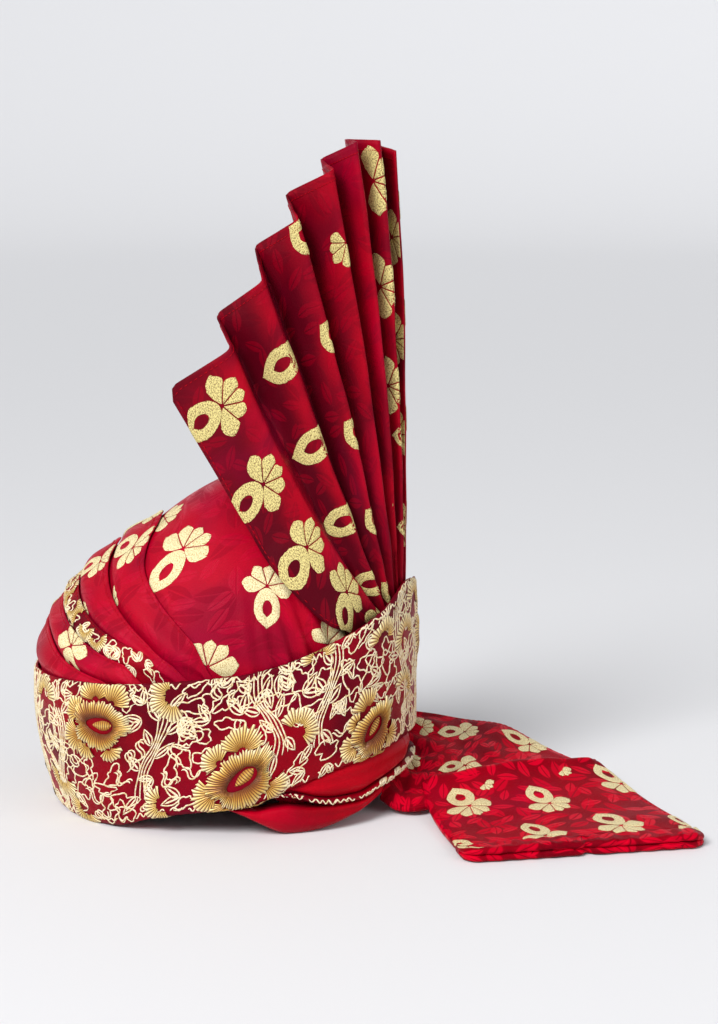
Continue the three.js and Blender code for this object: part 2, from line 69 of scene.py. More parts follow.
# Camera: its place and tilt, and its focal length and picture middle in pixels
CAMERA_AT = np.array([83.826, -1472.441, 476.975])
TILT = 11
FOCAL = 2272.73
PICTURE_MIDDLE = (359, 512)


def to_row(points):
    return (np.asarray(points, float) + SHIFT) * MM


def add_object(name, data):
    obj = bpy.data.objects.new(name, data)
    bpy.context.scene.collection.objects.link(obj)
    return obj


def project(points):
    """Pixels at which the camera sees points."""
    away = np.asarray(points, float) - CAMERA_AT
    c, s = math.cos(math.radians(TILT)), math.sin(math.radians(TILT))
    depth = away[..., 1] * c - away[..., 2] * s
    rise = away[..., 1] * s + away[..., 2] * c
    return np.stack([PICTURE_MIDDLE[0] + FOCAL * away[..., 0] / depth,
                     PICTURE_MIDDLE[1] - FOCAL * rise / depth], -1)


camera_data = bpy.data.cameras.new("camera")
camera = add_object("camera", camera_data)
camera.location = to_row(CAMERA_AT)
camera.rotation_euler = (math.radians(90 - TILT), 0, 0)
camera_data.lens = 79.9
camera_data.sensor_width = 36
camera_data.clip_end = 50
bpy.context.scene.camera = camera


# Curves and tables
def hermite(xs, ys):
    """Curve through the given points that doesn't overshoot them."""
    xs, ys = np.array(xs, float), np.array(ys, float)
    d = np.diff(ys) / np.diff(xs)
    m = np.zeros_like(ys)
    m[0], m[-1] = d[0], d[-1]
    for i in range(1, len(xs) - 1):
        if d[i - 1] * d[i] > 0:
            m[i] = 2 * d[i - 1] * d[i] / (d[i - 1] + d[i])

    def at(x):
        x = np.clip(np.asarray(x, float), xs[0], xs[-1])
        i = np.clip(np.searchsorted(xs, x) - 1, 0, len(xs) - 2)
        h = xs[i + 1] - xs[i]
        t = (x - xs[i]) / h
        a = ys[i] * (1 + 2 * t) * (1 - t) ** 2 + m[i] * h * t * (1 - t) ** 2
        return a + ys[i + 1] * t * t * (3 - 2 * t) + m[i + 1] * h * t * t * (t - 1)

    return at


def catmull(ys, x):
    """Curve through values at 0, 1, 2 and so on."""
    ys = np.array(ys, float)
    s = np.clip(np.asarray(x, float), 0, len(ys) - 1)
    i = np.minimum(len(ys) - 2, np.floor(s).astype(int))
    f = s - i
    p0, p1 = ys[np.maximum(0, i - 1)], ys[i]
    p2, p3 = ys[i + 1], ys[np.minimum(len(ys) - 1, i + 2)]
    b = 2 * p0 - 5 * p1 + 4 * p2 - p3
    c = 3 * p1 - p0 - 3 * p2 + p3
    return 0.5 * (2 * p1 + (p2 - p0) * f + b * f * f + c * f ** 3)


def ramp(v, a, b):
    t = np.clip((np.asarray(v, float) - a) / (b - a), 0, 1)
    return t * t * (3 - 2 * t)


def mix(a, b, t):
    return a + (b - a) * t


def spread(*values):
    return np.broadcast_arrays(*(np.asarray(v, float) for v in values))


def unit(v):
    return v / np.maximum(1e-9, np.linalg.norm(v, axis=-1, keepdims=True))


def run_along(points):
    """Length from the start of each line of points."""
    steps = np.linalg.norm(np.diff(points, axis=-2), axis=-1)
    return np.concatenate([np.zeros_like(steps[..., :1]), np.cumsum(steps, axis=-1)], axis=-1)


def fold_angle(a):
    a = np.mod(a, 360.0)
    return np.where(a > 180, 360 - a, a)


def full_turn(columns):
    return np.arange(columns)[:, None] * 360.0 / columns


def noise(x, y, seed, count=7, low=1.0, high=3.0):
    """Smooth value between about -1 and 1 from a few seeded waves."""
    rng = random.Random(seed)
    total = 0.0
    for _ in range(count):
        k = rng.uniform(low, high)
        turn = rng.uniform(0, 2 * math.pi)
        phase = rng.uniform(0, 2 * math.pi)
        total = total + np.sin(k * (x * math.cos(turn) + y * math.sin(turn)) + phase)
    return total / count * 1.6


# Crown profile: level, front, rear and side shares
LEVELS = np.array([
    [0.0, 1.0, 0.97, 1.0], [0.14, 1.01, 0.985, 1.02], [0.28, 1.01, 0.99, 1.045],
    [0.42, 1.0, 0.99, 1.06], [0.52, 0.985, 0.985, 1.05], [0.6, 0.935, 0.965, 1.015],
    [0.67, 0.855, 0.93, 0.96], [0.74, 0.735, 0.87, 0.88], [0.81, 0.58, 0.79, 0.77],
    [0.87, 0.43, 0.69, 0.65], [0.92, 0.29, 0.58, 0.52], [0.96, 0.15, 0.45, 0.37],
    [0.985, 0.03, 0.31, 0.22], [1.0, -0.12, 0.12, 0.0],
])
TOP_LEVEL = len(LEVELS) - 1
POLE = 12.6
INSIDE = [10, 0, 100]  # a point within the crown
DENSE = np.linspace(0, TOP_LEVEL, 1301)
DENSE_LEVEL = np.maximum.accumulate(catmull(LEVELS[:, 0], DENSE)) * CROWN


def crown_raw(angle, t):
    c, s = np.cos(np.radians(angle)), np.sin(np.radians(angle))
    reach = np.where(c > 0, catmull(LEVELS[:, 1], t), catmull(LEVELS[:, 2], t))
    side = np.maximum(0, catmull(LEVELS[:, 3], t))
    z = catmull(LEVELS[:, 0], t) * CROWN
    return np.stack([-HEAD_FRONT * reach * c, -HEAD_SIDE * side * s, z], -1)


def crown_at(angle, t, offset):
    """Point of the crown, set out along its normal; beyond POLE the normal stays as it is there."""
    angle, t = spread(angle, t)
    p = crown_raw(angle, t)
    t = np.minimum(t, POLE)
    around = crown_raw(angle + 0.5, t) - crown_raw(angle - 0.5, t)
    up = crown_raw(angle, t + 0.05) - crown_raw(angle, np.maximum(0, t - 0.05))
    n = unit(np.cross(up, around))
    n = np.where((n * (p - INSIDE)).sum(-1, keepdims=True) < 0, -n, n)
    return p + n * np.asarray(offset)[..., None]


def crown_t(height):
    return np.interp(height, DENSE_LEVEL, DENSE)


def crown_point(angle, height, offset=0.0):
    angle, height, offset = spread(angle, height, offset)
    return crown_at(angle, crown_t(height), offset)


def crown_point_at(angle, height, offset):
    """Point whose set-out place is at the wanted height."""
    angle, height, offset = spread(angle, height, offset)
    base = height.copy()
    for _ in range(10):
        got = crown_point(angle, base, offset)
        base = np.clip(base + (height - got[..., 2]) * 0.7, 0, CROWN * 0.98)
    return crown_point(angle, base, offset)


# Band
BAND_RISE = hermite(
    [-22, 0, 22, 45, 75, 93, 110, 130, 142, 152, 162, 180, 200, 225, 260, 300, 338, 360, 382],
    [0.06, 0, 0.06, 0.11, 0.19, 0.23, 0.32, 0.55, 0.71, 0.87, 1, 0.92, 0.66, 0.39, 0.23, 0.15,
     0.06, 0, 0.06])
BAND_LIFT = hermite([0, 20, 36, 50, 68, 84, 99, 105, 116, 127, 140, 159, 180],
                    [0.04, 0.01, 0, 0.02, 0.23, 0.35, 0.44, 0.54, 0.69, 0.83, 0.92, 1, 1])


def band_top(angle):
    return mix(BAND_LOW, BAND_PEAK, BAND_RISE(np.mod(angle, 360.0)))


def band_foot(angle):
    return REAR_LIFT * BAND_LIFT(fold_angle(angle))


FOOT = BAND_LOW * 0.89
PADDING = 4.0
FOLDS = [
    dict(name="wrap_fold_5", thick=0.9, end=90.0, tops=[0.88, 0.87, 0.825, 0.76, 0.69, 0.62, 0.515]),
    dict(name="wrap_fold_4", thick=1.0, end=82.5, tops=[0.8, 0.765, 0.72, 0.655, 0.58, 0.51, 0.48]),
    dict(name="wrap_trim", thick=0.55, end=75.0, tops=[0.7, 0.673, 0.631, 0.585, 0.548, 0.51, 0.48]),
    dict(name="wrap_fold_2", thick=1.0, end=67.5,
         tops=[0.631, 0.608, 0.571, 0.53, 0.498, 0.475, 0.45]),
    dict(name="wrap_fold_1", thick=1.15, end=60.0,
         tops=[0.562, 0.539, 0.488, 0.46, 0.438, 0.424, 0.415]),
]
for item in FOLDS:
    item["curve"] = hermite([-86, -72, -60, -45, -30, -15, 0, 15, 30, 45, 60, 72, 86],
                            item["tops"][:0:-1] + item["tops"])


def fold_top(fold, angle):
    return CROWN * fold["curve"](angle)


def fold_thick(fold, angle):
    taper = ramp(np.abs(angle), fold["end"] - 34, fold["end"])
    return PADDING * fold["thick"] * (1 - 0.65 * taper)


def stack_depth(angle):
    a = fold_angle(angle)
    depth = GAP * 2.5
    for fold in FOLDS:
        fade = 1 - ramp(a, fold["end"] - 2, fold["end"] + 14)
        depth = depth + (fold_thick(fold, np.minimum(a, fold["end"])) + LAYER) * fade
    return depth


def band_stand_off(angle, share):
    a = fold_angle(angle)
    rim = stack_depth(angle) + LAYER + BAND_THICK
    foot = mix(BAND_FOOT, BAND_SIDE, ramp(a, 20, 90))
    low_part = mix(foot, rim, np.sqrt(ramp(share, 0, 0.88)))
    side = mix(BAND_SIDE, rim, ramp(share, 0.35, 0.95))
    front = mix(low_part, side, ramp(a, 45, 90))
    return mix(front, BAND_REAR, ramp(a, 108, 150))


def band_point(angle, height, inset=0.0):
    angle, height = spread(angle, height)
    foot, top = band_foot(angle), band_top(angle)
    share = np.clip((height - foot) / (top - foot), 0, 1)
    out = (band_stand_off(angle, share) - inset)[..., None]
    base = crown_point(angle, np.minimum(height, CROWN * 0.5))[..., :2]
    flat = base + unit(base / [HEAD_FRONT ** 2, HEAD_SIDE ** 2]) * out
    return np.concatenate([flat, height[..., None]], -1)


# Length round the band at about half its height, from the front
ARC_HEIGHT = 55.0
ARC_ANGLES = np.linspace(-180, 540, 1441)
ARC_LENGTH = run_along(band_point(ARC_ANGLES, ARC_HEIGHT)[:, :2])
ARC_LENGTH -= np.interp(0, ARC_ANGLES, ARC_LENGTH)


# Mesh helpers
def new_object(name, points, faces, uv, material):
    mesh = bpy.data.meshes.new(name)
    mesh.from_pydata(to_row(points).tolist(), [], [list(map(int, f)) for f in faces])
    layer = mesh.uv_layers.new(name="cloth")
    loops = np.zeros(len(mesh.loops), int)
    mesh.loops.foreach_get("vertex_index", loops)
    layer.data.foreach_set("uv", (np.asarray(uv, float)[loops] / 100.0).ravel())
    mesh.polygons.foreach_set("use_smooth", [True] * len(mesh.polygons))
    mesh.materials.append(material)
    mesh.update()
    return add_object(name, mesh)


def rework(obj, change):
    mesh = bmesh.new()
    mesh.from_mesh(obj.data)
    change(mesh)
    mesh.to_mesh(obj.data)
    mesh.free()


def outward(mesh):
    """Turns a closed mesh so that its faces point outward."""
    if mesh.calc_volume(signed=True) < 0:
        bmesh.ops.reverse_faces(mesh, faces=mesh.faces)


def merged(mesh):
    """Joins points that fall together, takes out edges without length and faces outward."""
    bmesh.ops.remove_doubles(mesh, verts=mesh.verts, dist=2e-6)
    bmesh.ops.dissolve_degenerate(mesh, edges=mesh.edges, dist=1e-6)
    outward(mesh)


def without_slivers(mesh):
    slivers = [face for face in mesh.faces if face.calc_area() < 1e-9]
    bmesh.ops.delete(mesh, geom=slivers, context="FACES")


def finish_piece(obj, slot, *nodes):
    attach(obj, "root")
    if nodes:
        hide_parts(*nodes)


def grid_faces(columns, rows, ring, start=0, flip=False):
    faces = []
    last = columns if ring else columns - 1
    for i in range(last):
        a = start + i * rows
        b = start + ((i + 1) % columns) * rows
        for j in range(rows - 1):
            quad = [a + j, b + j, b + j + 1, a + j + 1]
            faces.append(quad[::-1] if flip else quad)
    return faces


def shell(name, outer, inner, uv, material, ring=False, close_top=True):
    """Closed piece from an outer and an inner grid (columns, rows, 3)."""
    columns, rows = outer.shape[:2]
    count = columns * rows
    points = np.concatenate([outer.reshape(-1, 3), inner.reshape(-1, 3)])
    uvs = np.concatenate([uv.reshape(-1, 2), uv.reshape(-1, 2)])
    faces = grid_faces(columns, rows, ring) + grid_faces(columns, rows, ring, count, True)
    last = columns if ring else columns - 1
    for i in range(last):
        a, b = i * rows, ((i + 1) % columns) * rows
        faces.append([a, count + a, count + b, b])
        if close_top:
            t = rows - 1
            faces.append([a + t, b + t, count + b + t, count + a + t])
    if not ring:
        e = (columns - 1) * rows
        for j in range(rows - 1):
            faces.append([j, j + 1, count + j + 1, count + j])
            faces.append([e + j, count + e + j, count + e + j + 1, e + j + 1])
    obj = new_object(name, points, faces, uvs, material)
    rework(obj, outward)
    return obj


def loops_mesh(name, section, uv, material, ring):
    """Closed piece from closed sections (stations, points, 3)."""
    stations, count = section.shape[:2]
    faces = []
    last = stations if ring else stations - 1
    for i in range(last):
        a, b = i * count, ((i + 1) % stations) * count
        for j in range(count):
            k = (j + 1) % count
            faces.append([a + j, b + j, b + k, a + k])
    if not ring:
        faces.append(list(range(count)))
        faces.append([(stations - 1) * count + j for j in range(count)][::-1])
    obj = new_object(name, section.reshape(-1, 3), faces, uv.reshape(-1, 2), material)
    rework(obj, outward)
    return obj


def section_uv(across, section):
    run = run_along(section)
    return np.stack([np.broadcast_to(across, run.shape), run], -1)


# Materials
class Shader:
    def __init__(self, name, roughness=0.5, **fixed):
        self.material = bpy.data.materials.new(name)
        self.material.use_nodes = True
        self.nodes = self.material.node_tree.nodes
        self.bsdf = self.nodes["Principled BSDF"]
        self.fill(self.bsdf, {"Roughness": roughness})
        self.fill(self.bsdf, {key.replace("_", " "): value for key, value in fixed.items()})

    def fill(self, node, inputs):
        """Sets inputs of a node, by a link where the value is a socket."""
        for key, value in inputs.items():
            if isinstance(value, bpy.types.NodeSocket):
                self.material.node_tree.links.new(value, node.inputs[key])
            else:
                node.inputs[key].default_value = value

    def add(self, kind, inputs, out=0, **props):
        """New node; returns one output, or all of them where out is None."""
        node = self.nodes.new(kind)
        for key, value in props.items():
            setattr(node, key, value)
        self.fill(node, inputs)
        return node.outputs if out is None else node.outputs[out]

    def math(self, op, a, b=0.0):
        return self.add("ShaderNodeMath", {0: a, 1: b}, operation=op)

    def times(self, a, b):
        return self.math("MULTIPLY", a, b)

    def plus(self, a, b):
        return self.math("ADD", a, b)

    def minus(self, a, b):
        return self.math("SUBTRACT", a, b)

    def wave(self, value, period):
        return self.math("SINE", self.times(value, 2 * math.pi / period))

    def vector(self, op, a, b):
        return self.add("ShaderNodeVectorMath", {0: a, 1: b}, operation=op)

    def parts(self, vector):
        return self.add("ShaderNodeSeparateXYZ", {0: vector}, None)

    def uv(self, scale=(1, 1, 1), shift=(0, 0, 0)):
        """Place on the cloth, in units of 100 mm."""
        place = self.add("ShaderNodeUVMap", {}, uv_map="cloth")
        return self.add("ShaderNodeMapping", {"Vector": place, "Scale": scale, "Location": shift})

    def noise(self, vector, scale, detail=2.0, rough=0.5):
        return self.add("ShaderNodeTexNoise", {"Vector": vector, "Scale": scale, "Detail": detail,
                                               "Roughness": rough}, noise_dimensions="2D")

    def step(self, value, a, b):
        return self.add("ShaderNodeMapRange", {"Value": value, "From Min": a, "From Max": b},
                        interpolation_type="SMOOTHSTEP")

    def colour(self, factor, a, b):
        a, b = (c if isinstance(c, bpy.types.NodeSocket) else (*c, 1) for c in (a, b))
        return self.add("ShaderNodeMix", {0: factor, 6: a, 7: b}, 2, data_type="RGBA",
                        clamp_factor=True)

    def finish(self, colour, height, strength, distance):
        normal = self.add("ShaderNodeBump", {"Height": height, "Strength": strength,
                                             "Distance": distance})
        self.fill(self.bsdf, {"Base Color": colour, "Normal": normal})
        return self.material

    def leaves(self, cell, length, width, seed):
        """Mask of scattered pointed leaves with a midrib, one to a cell; sizes in cloth units."""
        place = self.uv(shift=(seed * 1.7, seed * 2.3, 0))
        bend = self.times(self.noise(place, 3.0, 1.0), 0.05)
        place = self.vector("ADD", place, self.add("ShaderNodeCombineXYZ", {0: bend}))
        cells = self.add("ShaderNodeTexVoronoi", {"Vector": place, "Scale": 1.0 / cell,
                                                  "Randomness": 0.75}, None, voronoi_dimensions="2D")
        local = self.vector("SUBTRACT", place, cells["Position"])
        spin = self.times(self.add("ShaderNodeSeparateColor", {0: cells["Color"]}), 6.283)
        leaf = self.parts(self.add("ShaderNodeVectorRotate", {"Vector": local, "Angle": spin},
                                   rotation_type="Z_AXIS"))
        x = self.math("DIVIDE", leaf[0], length)
        y = self.math("ABSOLUTE", leaf[1])
        body = self.times(self.minus(1.0, self.times(x, x)), width)
        mask = self.step(self.minus(body, y), 0.0, width * 0.22)
        return self.times(mask, self.step(y, width * 0.05, width * 0.14))


def silk(name, base, dark, bright, wine, pattern, cell=0.21, gloss=0.17):
    """Brocade: leaves tone on tone, painted shade where a mesh sets its shade attribute, worn patches,
    slubs and a fine twill.
    """
    s = Shader(name, 0.5, Sheen_Weight=0.12, Sheen_Roughness=0.3, Sheen_Tint=(1.0, 0.04, 0.14, 1),
               Specular_IOR_Level=gloss, Specular_Tint=(1.0, 0.35, 0.42, 1))
    faded = tuple(0.92 * a + b for a, b in zip(bright, (0.02, 0.0, 0.035)))
    big = s.leaves(cell * 1.1, cell * 0.62, cell * 0.27, 1.0)
    small = s.leaves(cell * 0.9, cell * 0.5, cell * 0.22, 5.0)
    worn = s.noise(s.uv(shift=(3, 7, 0)), 0.9, 3.0, 0.6)
    slub = s.noise(s.uv(scale=(1, 6, 1)), 40.0)
    colour = s.colour(s.step(s.noise(s.uv(), 1.6), 0.38, 0.68), base, wine)
    painted_shade = s.add("ShaderNodeAttribute", {}, "Fac", attribute_name="painted_shade")
    # Painted shade: the colour goes toward dark as far as the mesh's shade attribute asks (the fan's
    # valleys)
    colour = s.colour(painted_shade, colour, dark)
    for mask, share, shade in ((big, 0.75 * pattern, dark), (small, 0.7 * pattern, bright),
                               (s.step(worn, 0.5, 0.72), 0.14, faded),
                               (s.step(slub, 0.4, 0.75), 0.22, dark)):
        colour = s.colour(s.times(mask, share), colour, shade)
    s.fill(s.bsdf, {"Roughness": s.plus(0.44, s.times(s.minus(big, small), 0.12))})
    place = s.parts(s.uv())
    twill = s.times(s.wave(place[0], 0.009), s.wave(place[1], 0.009))
    height = s.plus(s.times(twill, 0.35), s.times(s.plus(big, small), 0.5))
    return s.finish(colour, s.plus(height, s.times(slub, 0.6)), 0.35, 0.0004)


def gold(name, pale, deep, speck, metal):
    s = Shader(name, 0.42, Metallic=metal)
    spots = s.noise(s.uv(scale=(1, 0.7, 1)), speck, 4.0, 0.8)
    rows = s.wave(s.parts(s.uv())[0], 0.007)
    return s.finish(s.colour(s.step(spots, 0.48, 0.60), pale, deep),
                    s.plus(s.times(rows, 0.4), spots), 0.6, 0.0004)


def satin():
    """Satin stitch: u counts stitches, v runs from the heart (0) to the tips (1)."""
    s = Shader("satin_stitch", 0.42, Metallic=0.12)
    u, v = s.parts(s.uv(scale=(100, 100, 1)))[:2]
    shades = s.nodes.new("ShaderNodeValToRGB")
    stops = shades.color_ramp.elements
    stops[0].color, stops[1].color = (0.13, 0.03, 0.008, 1), (0.98, 0.87, 0.52, 1)
    for position, colour in ((0.2, (0.34, 0.11, 0.018)), (0.45, (0.66, 0.32, 0.045)),
                             (0.7, (0.90, 0.62, 0.17))):
        stops.new(position).color = (*colour, 1)
    s.fill(shades, {0: v})
    stitch = s.wave(u, 1)
    colour = s.colour(s.step(stitch, -1.0, -0.1), (0.20, 0.04, 0.01), shades.outputs[0])
    return s.finish(colour, stitch, 0.7, 0.0006)


cloth_mat = silk("crimson_brocade", (0.40, 0.0, 0.014), (0.15, 0.0, 0.008),
                 (0.52, 0.0, 0.028), (0.25, 0.0, 0.016), 0.4)
# The fan's brocade: its dark colour serves both the leaf pattern and the painted shade laid toward the
# pleat valleys
fan_mat = silk("crimson_brocade_fan", (0.36, 0.0, 0.010), (0.075, 0.0, 0.005),
               (0.42, 0.0, 0.014), (0.17, 0.0, 0.009), 0.35)
tail_mat = silk("crimson_brocade_tail", (0.24, 0.0, 0.006), (0.50, 0.0, 0.014),
                (0.60, 0.0, 0.017), (0.15, 0.0, 0.005), 1.3, 0.17, 0.06)
plain_mat = silk("plain_red_silk", (0.44, 0.0, 0.008), (0.24, 0.0, 0.005),
                 (0.50, 0.0, 0.010), (0.26, 0.0, 0.005), 0.1)
lining_mat = silk("cap_lining", (0.22, 0.0, 0.006), (0.12, 0.0, 0.004),
                  (0.26, 0.0, 0.008), (0.15, 0.0, 0.005), 0.1)
ground_mat = silk("band_ground", (0.26, 0.0, 0.006), (0.09, 0.0, 0.004),
                  (0.28, 0.0, 0.006), (0.10, 0.0, 0.006), 0.1)
gold_fan = gold("woven_gold", (0.84, 0.72, 0.28), (0.20, 0.10, 0.02), 130.0, 0.2)
gold_pale = gold("woven_gold_pale", (0.90, 0.80, 0.46), (0.50, 0.32, 0.10), 130.0, 0.1)
thread_mat = gold("gold_thread", (0.96, 0.85, 0.60), (0.78, 0.58, 0.28), 30.0, 0.1)
satin_mat = satin()


# Surfaces that carry motifs and embroidery
class Cloth:
    """Grid of points (rows, columns, 3) on which shapes are laid out in millimetres."""

    AWAY = 500
    BARRED = 1e6

    def __init__(self, grid, side=1.0):
        self.grid = np.asarray(grid, float)
        down, along = np.gradient(self.grid, axis=0), np.gradient(self.grid, axis=1)
        self.normal = unit(np.cross(along, down) * side)
        self.arc = run_along(self.grid)
        self.rows, self.columns = (np.arange(count) for count in self.grid.shape[:2])

    def locate(self, px, py, first=0, last=None):
        """Row and column seen at a pixel, on the side that faces the camera."""
        seen = project(self.grid)
        far = np.hypot(seen[..., 0] - px, seen[..., 1] - py)
        facing = (self.normal * (CAMERA_AT - self.grid)).sum(-1) > 0
        far = np.where(facing, far, far + self.AWAY)
        far[:, :first] = self.BARRED
        if last is not None:
            far[:, last + 1:] = self.BARRED
        r, c = np.unravel_index(np.argmin(far), far.shape)
        return float(r), float(c)

    def sample(self, field, r, c):
        i = np.clip(np.floor(r).astype(int), 0, len(self.rows) - 2)
        j = np.clip(np.floor(c).astype(int), 0, len(self.columns) - 2)
        f, g = (r - i)[..., None], (c - j)[..., None]
        top = field[i, j] * (1 - g) + field[i, j + 1] * g
        bottom = field[i + 1, j] * (1 - g) + field[i + 1, j + 1] * g
        return top * (1 - f) + bottom * f

    def place(self, r0, c0, a, b):
        """Rows and columns of the places a mm across and b mm up from a row and a column."""
        j = min(int(c0), len(self.columns) - 2)
        g = c0 - j
        up = run_along(self.grid[:, j] * (1 - g) + self.grid[:, j + 1] * g)
        start = np.interp(r0, self.rows, up)
        r = np.interp(start + b, up, self.rows)
        i = np.clip(np.floor(r).astype(int), 0, len(self.rows) - 2)
        c = np.zeros_like(r)
        for row in np.unique(i):
            pick = i == row
            f = r[pick] - row
            found = []
            for k in (row, row + 1):
                centre = self.arc[k, j] * (1 - g) + self.arc[k, j + 1] * g
                found.append(np.interp(centre + a[pick], self.arc[k], self.columns))
            c[pick] = found[0] * (1 - f) + found[1] * f
        return r, c

    def at(self, r0, c0, a, b, lift):
        a, b = np.asarray(a, float), np.asarray(b, float)
        r, c = self.place(r0, c0, a.ravel(), b.ravel())
        p, n = self.sample(self.grid, r, c), unit(self.sample(self.normal, r, c))
        return (p + n * np.broadcast_to(lift, a.shape).ravel()[:, None]).reshape(*a.shape, 3)


def cloth_facing(grid, row, column, way):
    """Cloth whose normal, at one row and column, is on the side of the direction way."""
    cloth = Cloth(grid)
    return Cloth(grid, -1.0) if (cloth.normal[row, column] * way).sum() < 0 else cloth


class Stitches:
    """Many small patches and ribbons gathered in one mesh."""

    def __init__(self):
        self.points, self.uv, self.faces, self.count = [], [], [], 0

    def grid(self, points, uv):
        rows, columns = points.shape[:2]
        start = self.count
        for i in range(rows - 1):
            for j in range(columns - 1):
                a = start + i * columns + j
                self.faces.append([a, a + 1, a + columns + 1, a + columns])
        self.points.append(points.reshape(-1, 3))
        self.uv.append(uv.reshape(-1, 2))
        self.count += rows * columns

    def patch(self, cloth, where, x, y, lift, uv=None):
        """Lays flat places on a cloth; the uv is the place itself where none is given."""
        uv = (x, y) if uv is None else uv
        self.grid(cloth.at(*where, x, y, lift), np.stack(np.broadcast_arrays(*uv), -1))

    def ribbon(self, cloth, r0, c0, path, width, height):
        path = np.asarray(path, float)
        way = unit(np.gradient(path, axis=0))
        side = np.stack([-way[:, 1], way[:, 0]], 1)
        taper = np.ones(len(path))
        taper[0] = taper[-1] = 0.35
        lines, lifts = [], []
        for k, up in ((-1, 0.05), (0, 1.0), (1, 0.05)):
            lines.append(path + side * (k * width / 2) * taper[:, None])
            lifts.append(np.full(len(path), up * height))
        flat = np.stack(lines, 1)
        across = np.array([0, 0.5, 1.0]) * width
        self.patch(cloth, (r0, c0), flat[..., 0], flat[..., 1], np.stack(lifts, 1),
                   (run_along(path)[:, None], across[None, :]))

    def build(self, name, material, slot):
        obj = new_object(name, np.concatenate(self.points), self.faces,
                         np.concatenate(self.uv), material)
        rework(obj, without_slivers)
        finish_piece(obj, slot)


def turned(x, y, angle):
    c, s = math.cos(math.radians(angle)), math.sin(math.radians(angle))
    return x * c - y * s, x * s + y * c


def jagged(rng, count, least, most):
    return np.array([[1 + rng.uniform(least, most)] for _ in range(count)])


# Woven motifs: five petals round a junction and one leaf with an eye
BUTTI = [
    # angle, start, length, width
    (84, 1.3, 18.5, 13.5), (33, 1.5, 17.0, 11.5), (-6, 1.6, 15.5, 10.0), (-42, 1.5, 16.0, 10.5),
    (-92, 1.3, 18.0, 13.5),
]
LEAF = 9
LEAF_ONLY = (0, 1, 2, 3, 4)
LEAF_START, LEAF_LENGTH, LEAF_WIDTH = 1.6, 32.0, 21.0
PETAL_LINE = 0.9
EYE = 0.42


def petal(out, cloth, where, spin, size, angle, start, length, width, rng, room):
    """One petal from a junction: start and length along its own direction, width across.

    room holds the angles to the petals on either side; a thin line stays bare between two."""
    along, across = 14, 7
    v = (0.5 - 0.5 * np.cos(np.linspace(0, math.pi, along)))[:, None]
    u = np.linspace(-1, 1, across)[None, :]
    half = width / 2 * np.sin(math.pi * np.clip(v, 0.002, 0.998) ** 1.45) ** 0.6
    jag = jagged(rng, along, -0.06, 0.06)
    tip = np.array([[rng.uniform(-0.05, 0.04) for _ in range(across)]])
    x = start + length * (v + tip * v ** 4)
    low, high = (np.tan(np.radians(min(side / 2, 80.0))) * x - PETAL_LINE / 2 for side in room)
    y = np.clip(half * jag * u, -np.maximum(low, 0.02), np.maximum(high, 0.02))
    x, y = turned(x * size, y * size, angle + spin)
    lift = SEWN + 0.4 * (1 - u * u) * np.sin(math.pi * np.clip(v, 0, 1)) ** 0.5
    out.patch(cloth, where, x, y, lift)


def eye_leaf(out, cloth, where, spin, size, rng):
    """A pointed leaf with an open eye in its middle, pointing away from the petals."""
    around = 49
    turn = np.linspace(0, 2 * math.pi, around)[:, None]
    share = np.array([EYE, 0.58, 0.82, 1.0])[None, :]
    c, s = np.cos(turn), np.sin(turn)
    tip = np.sign(s) * np.abs(s) ** (1 + 1.3 * np.clip(c, 0, 1))
    jag = jagged(rng, around, -0.03, 0.03)
    jag[-1] = jag[0]
    x = LEAF_START + LEAF_LENGTH / 2 + LEAF_LENGTH / 2 * c * share + 0.5 * (1 - share)
    y = LEAF_WIDTH / 2 * tip * mix(1.0, jag, (share - EYE) / (1 - EYE)) * (share ** 1.15)
    x, y = turned(x * size, y * size, 180 + spin)
    lift = SEWN + 0.35 * np.sin(math.pi * np.clip((share - EYE) / (1.05 - EYE), 0, 1))
    out.patch(cloth, where, x, y, lift)


def butti(out, cloth, where, spin, size=1.0, seed=0, skip=()):
    """One motif; spin 0 points its leaf to -x, and skip names petals, or the LEAF, left out."""
    rng = random.Random(seed * 31 + 7)
    angles = [270.0] + [row[0] for row in BUTTI] + [-270.0]
    for k, (angle, start, length, width) in enumerate(BUTTI):
        if k not in skip:
            room = (angle - angles[k + 2], angles[k] - angle)
            petal(out, cloth, where, spin, size, angle, start, length, width, rng, room)
    if LEAF not in skip:
        eye_leaf(out, cloth, where, spin, size, rng)


# Crown
RIM = hermite([0, 48, 70, 84, 98, 105, 110, 115, 120, 126, 145, 180],
              [0.02, 0.02, 0.18, 0.28, 0.40, 0.44, 0.34, 0.18, 0.06, 0.02, 0.12, 0.17])
DRAPES = [
    # angle, lean, width, depth
    (99, 0.05, 2.4, 0.9), (106, 0.09, 2.2, 1.5), (113, 0.13, 2.6, 1.9), (121, 0.17, 2.6, 2.2),
    (130, 0.20, 3.0, 2.2), (139, 0.2, 3.0, 2.0), (232, -0.1, 3.2, 1.8), (221, -0.1, 3.0, 2.0),
    (243, -0.08, 3.2, 1.6), (254, -0.05, 3.4, 1.2), (262, -0.03, 3.0, 0.8),
    (205, -0.05, 4.0, 1.6), (190, 0.0, 4.0, 1.4),
]


def crown_swell(angle, height):
    """Soft drape folds above the band on both sides, and a slow unevenness."""
    a = np.mod(angle, 360.0)
    total = 0.35 * noise(a / 18.0, height / 22.0, 3)
    for centre, lean, width, depth in DRAPES:
        middle = centre - lean * (height - 100)
        fade = 1 - ramp(height, 112, 172)
        ridge = np.exp(-((a - middle) / width) ** 2)
        groove = np.exp(-((a - middle - width * 1.3) / (width * 0.7)) ** 2)
        total = total + 1.4 * depth * fade * (ridge - 0.8 * groove)
    side = ramp(fold_angle(a), 88, 98)
    return np.where(height > 60, total * mix(0.35, 1.0, side), total * 0.4)


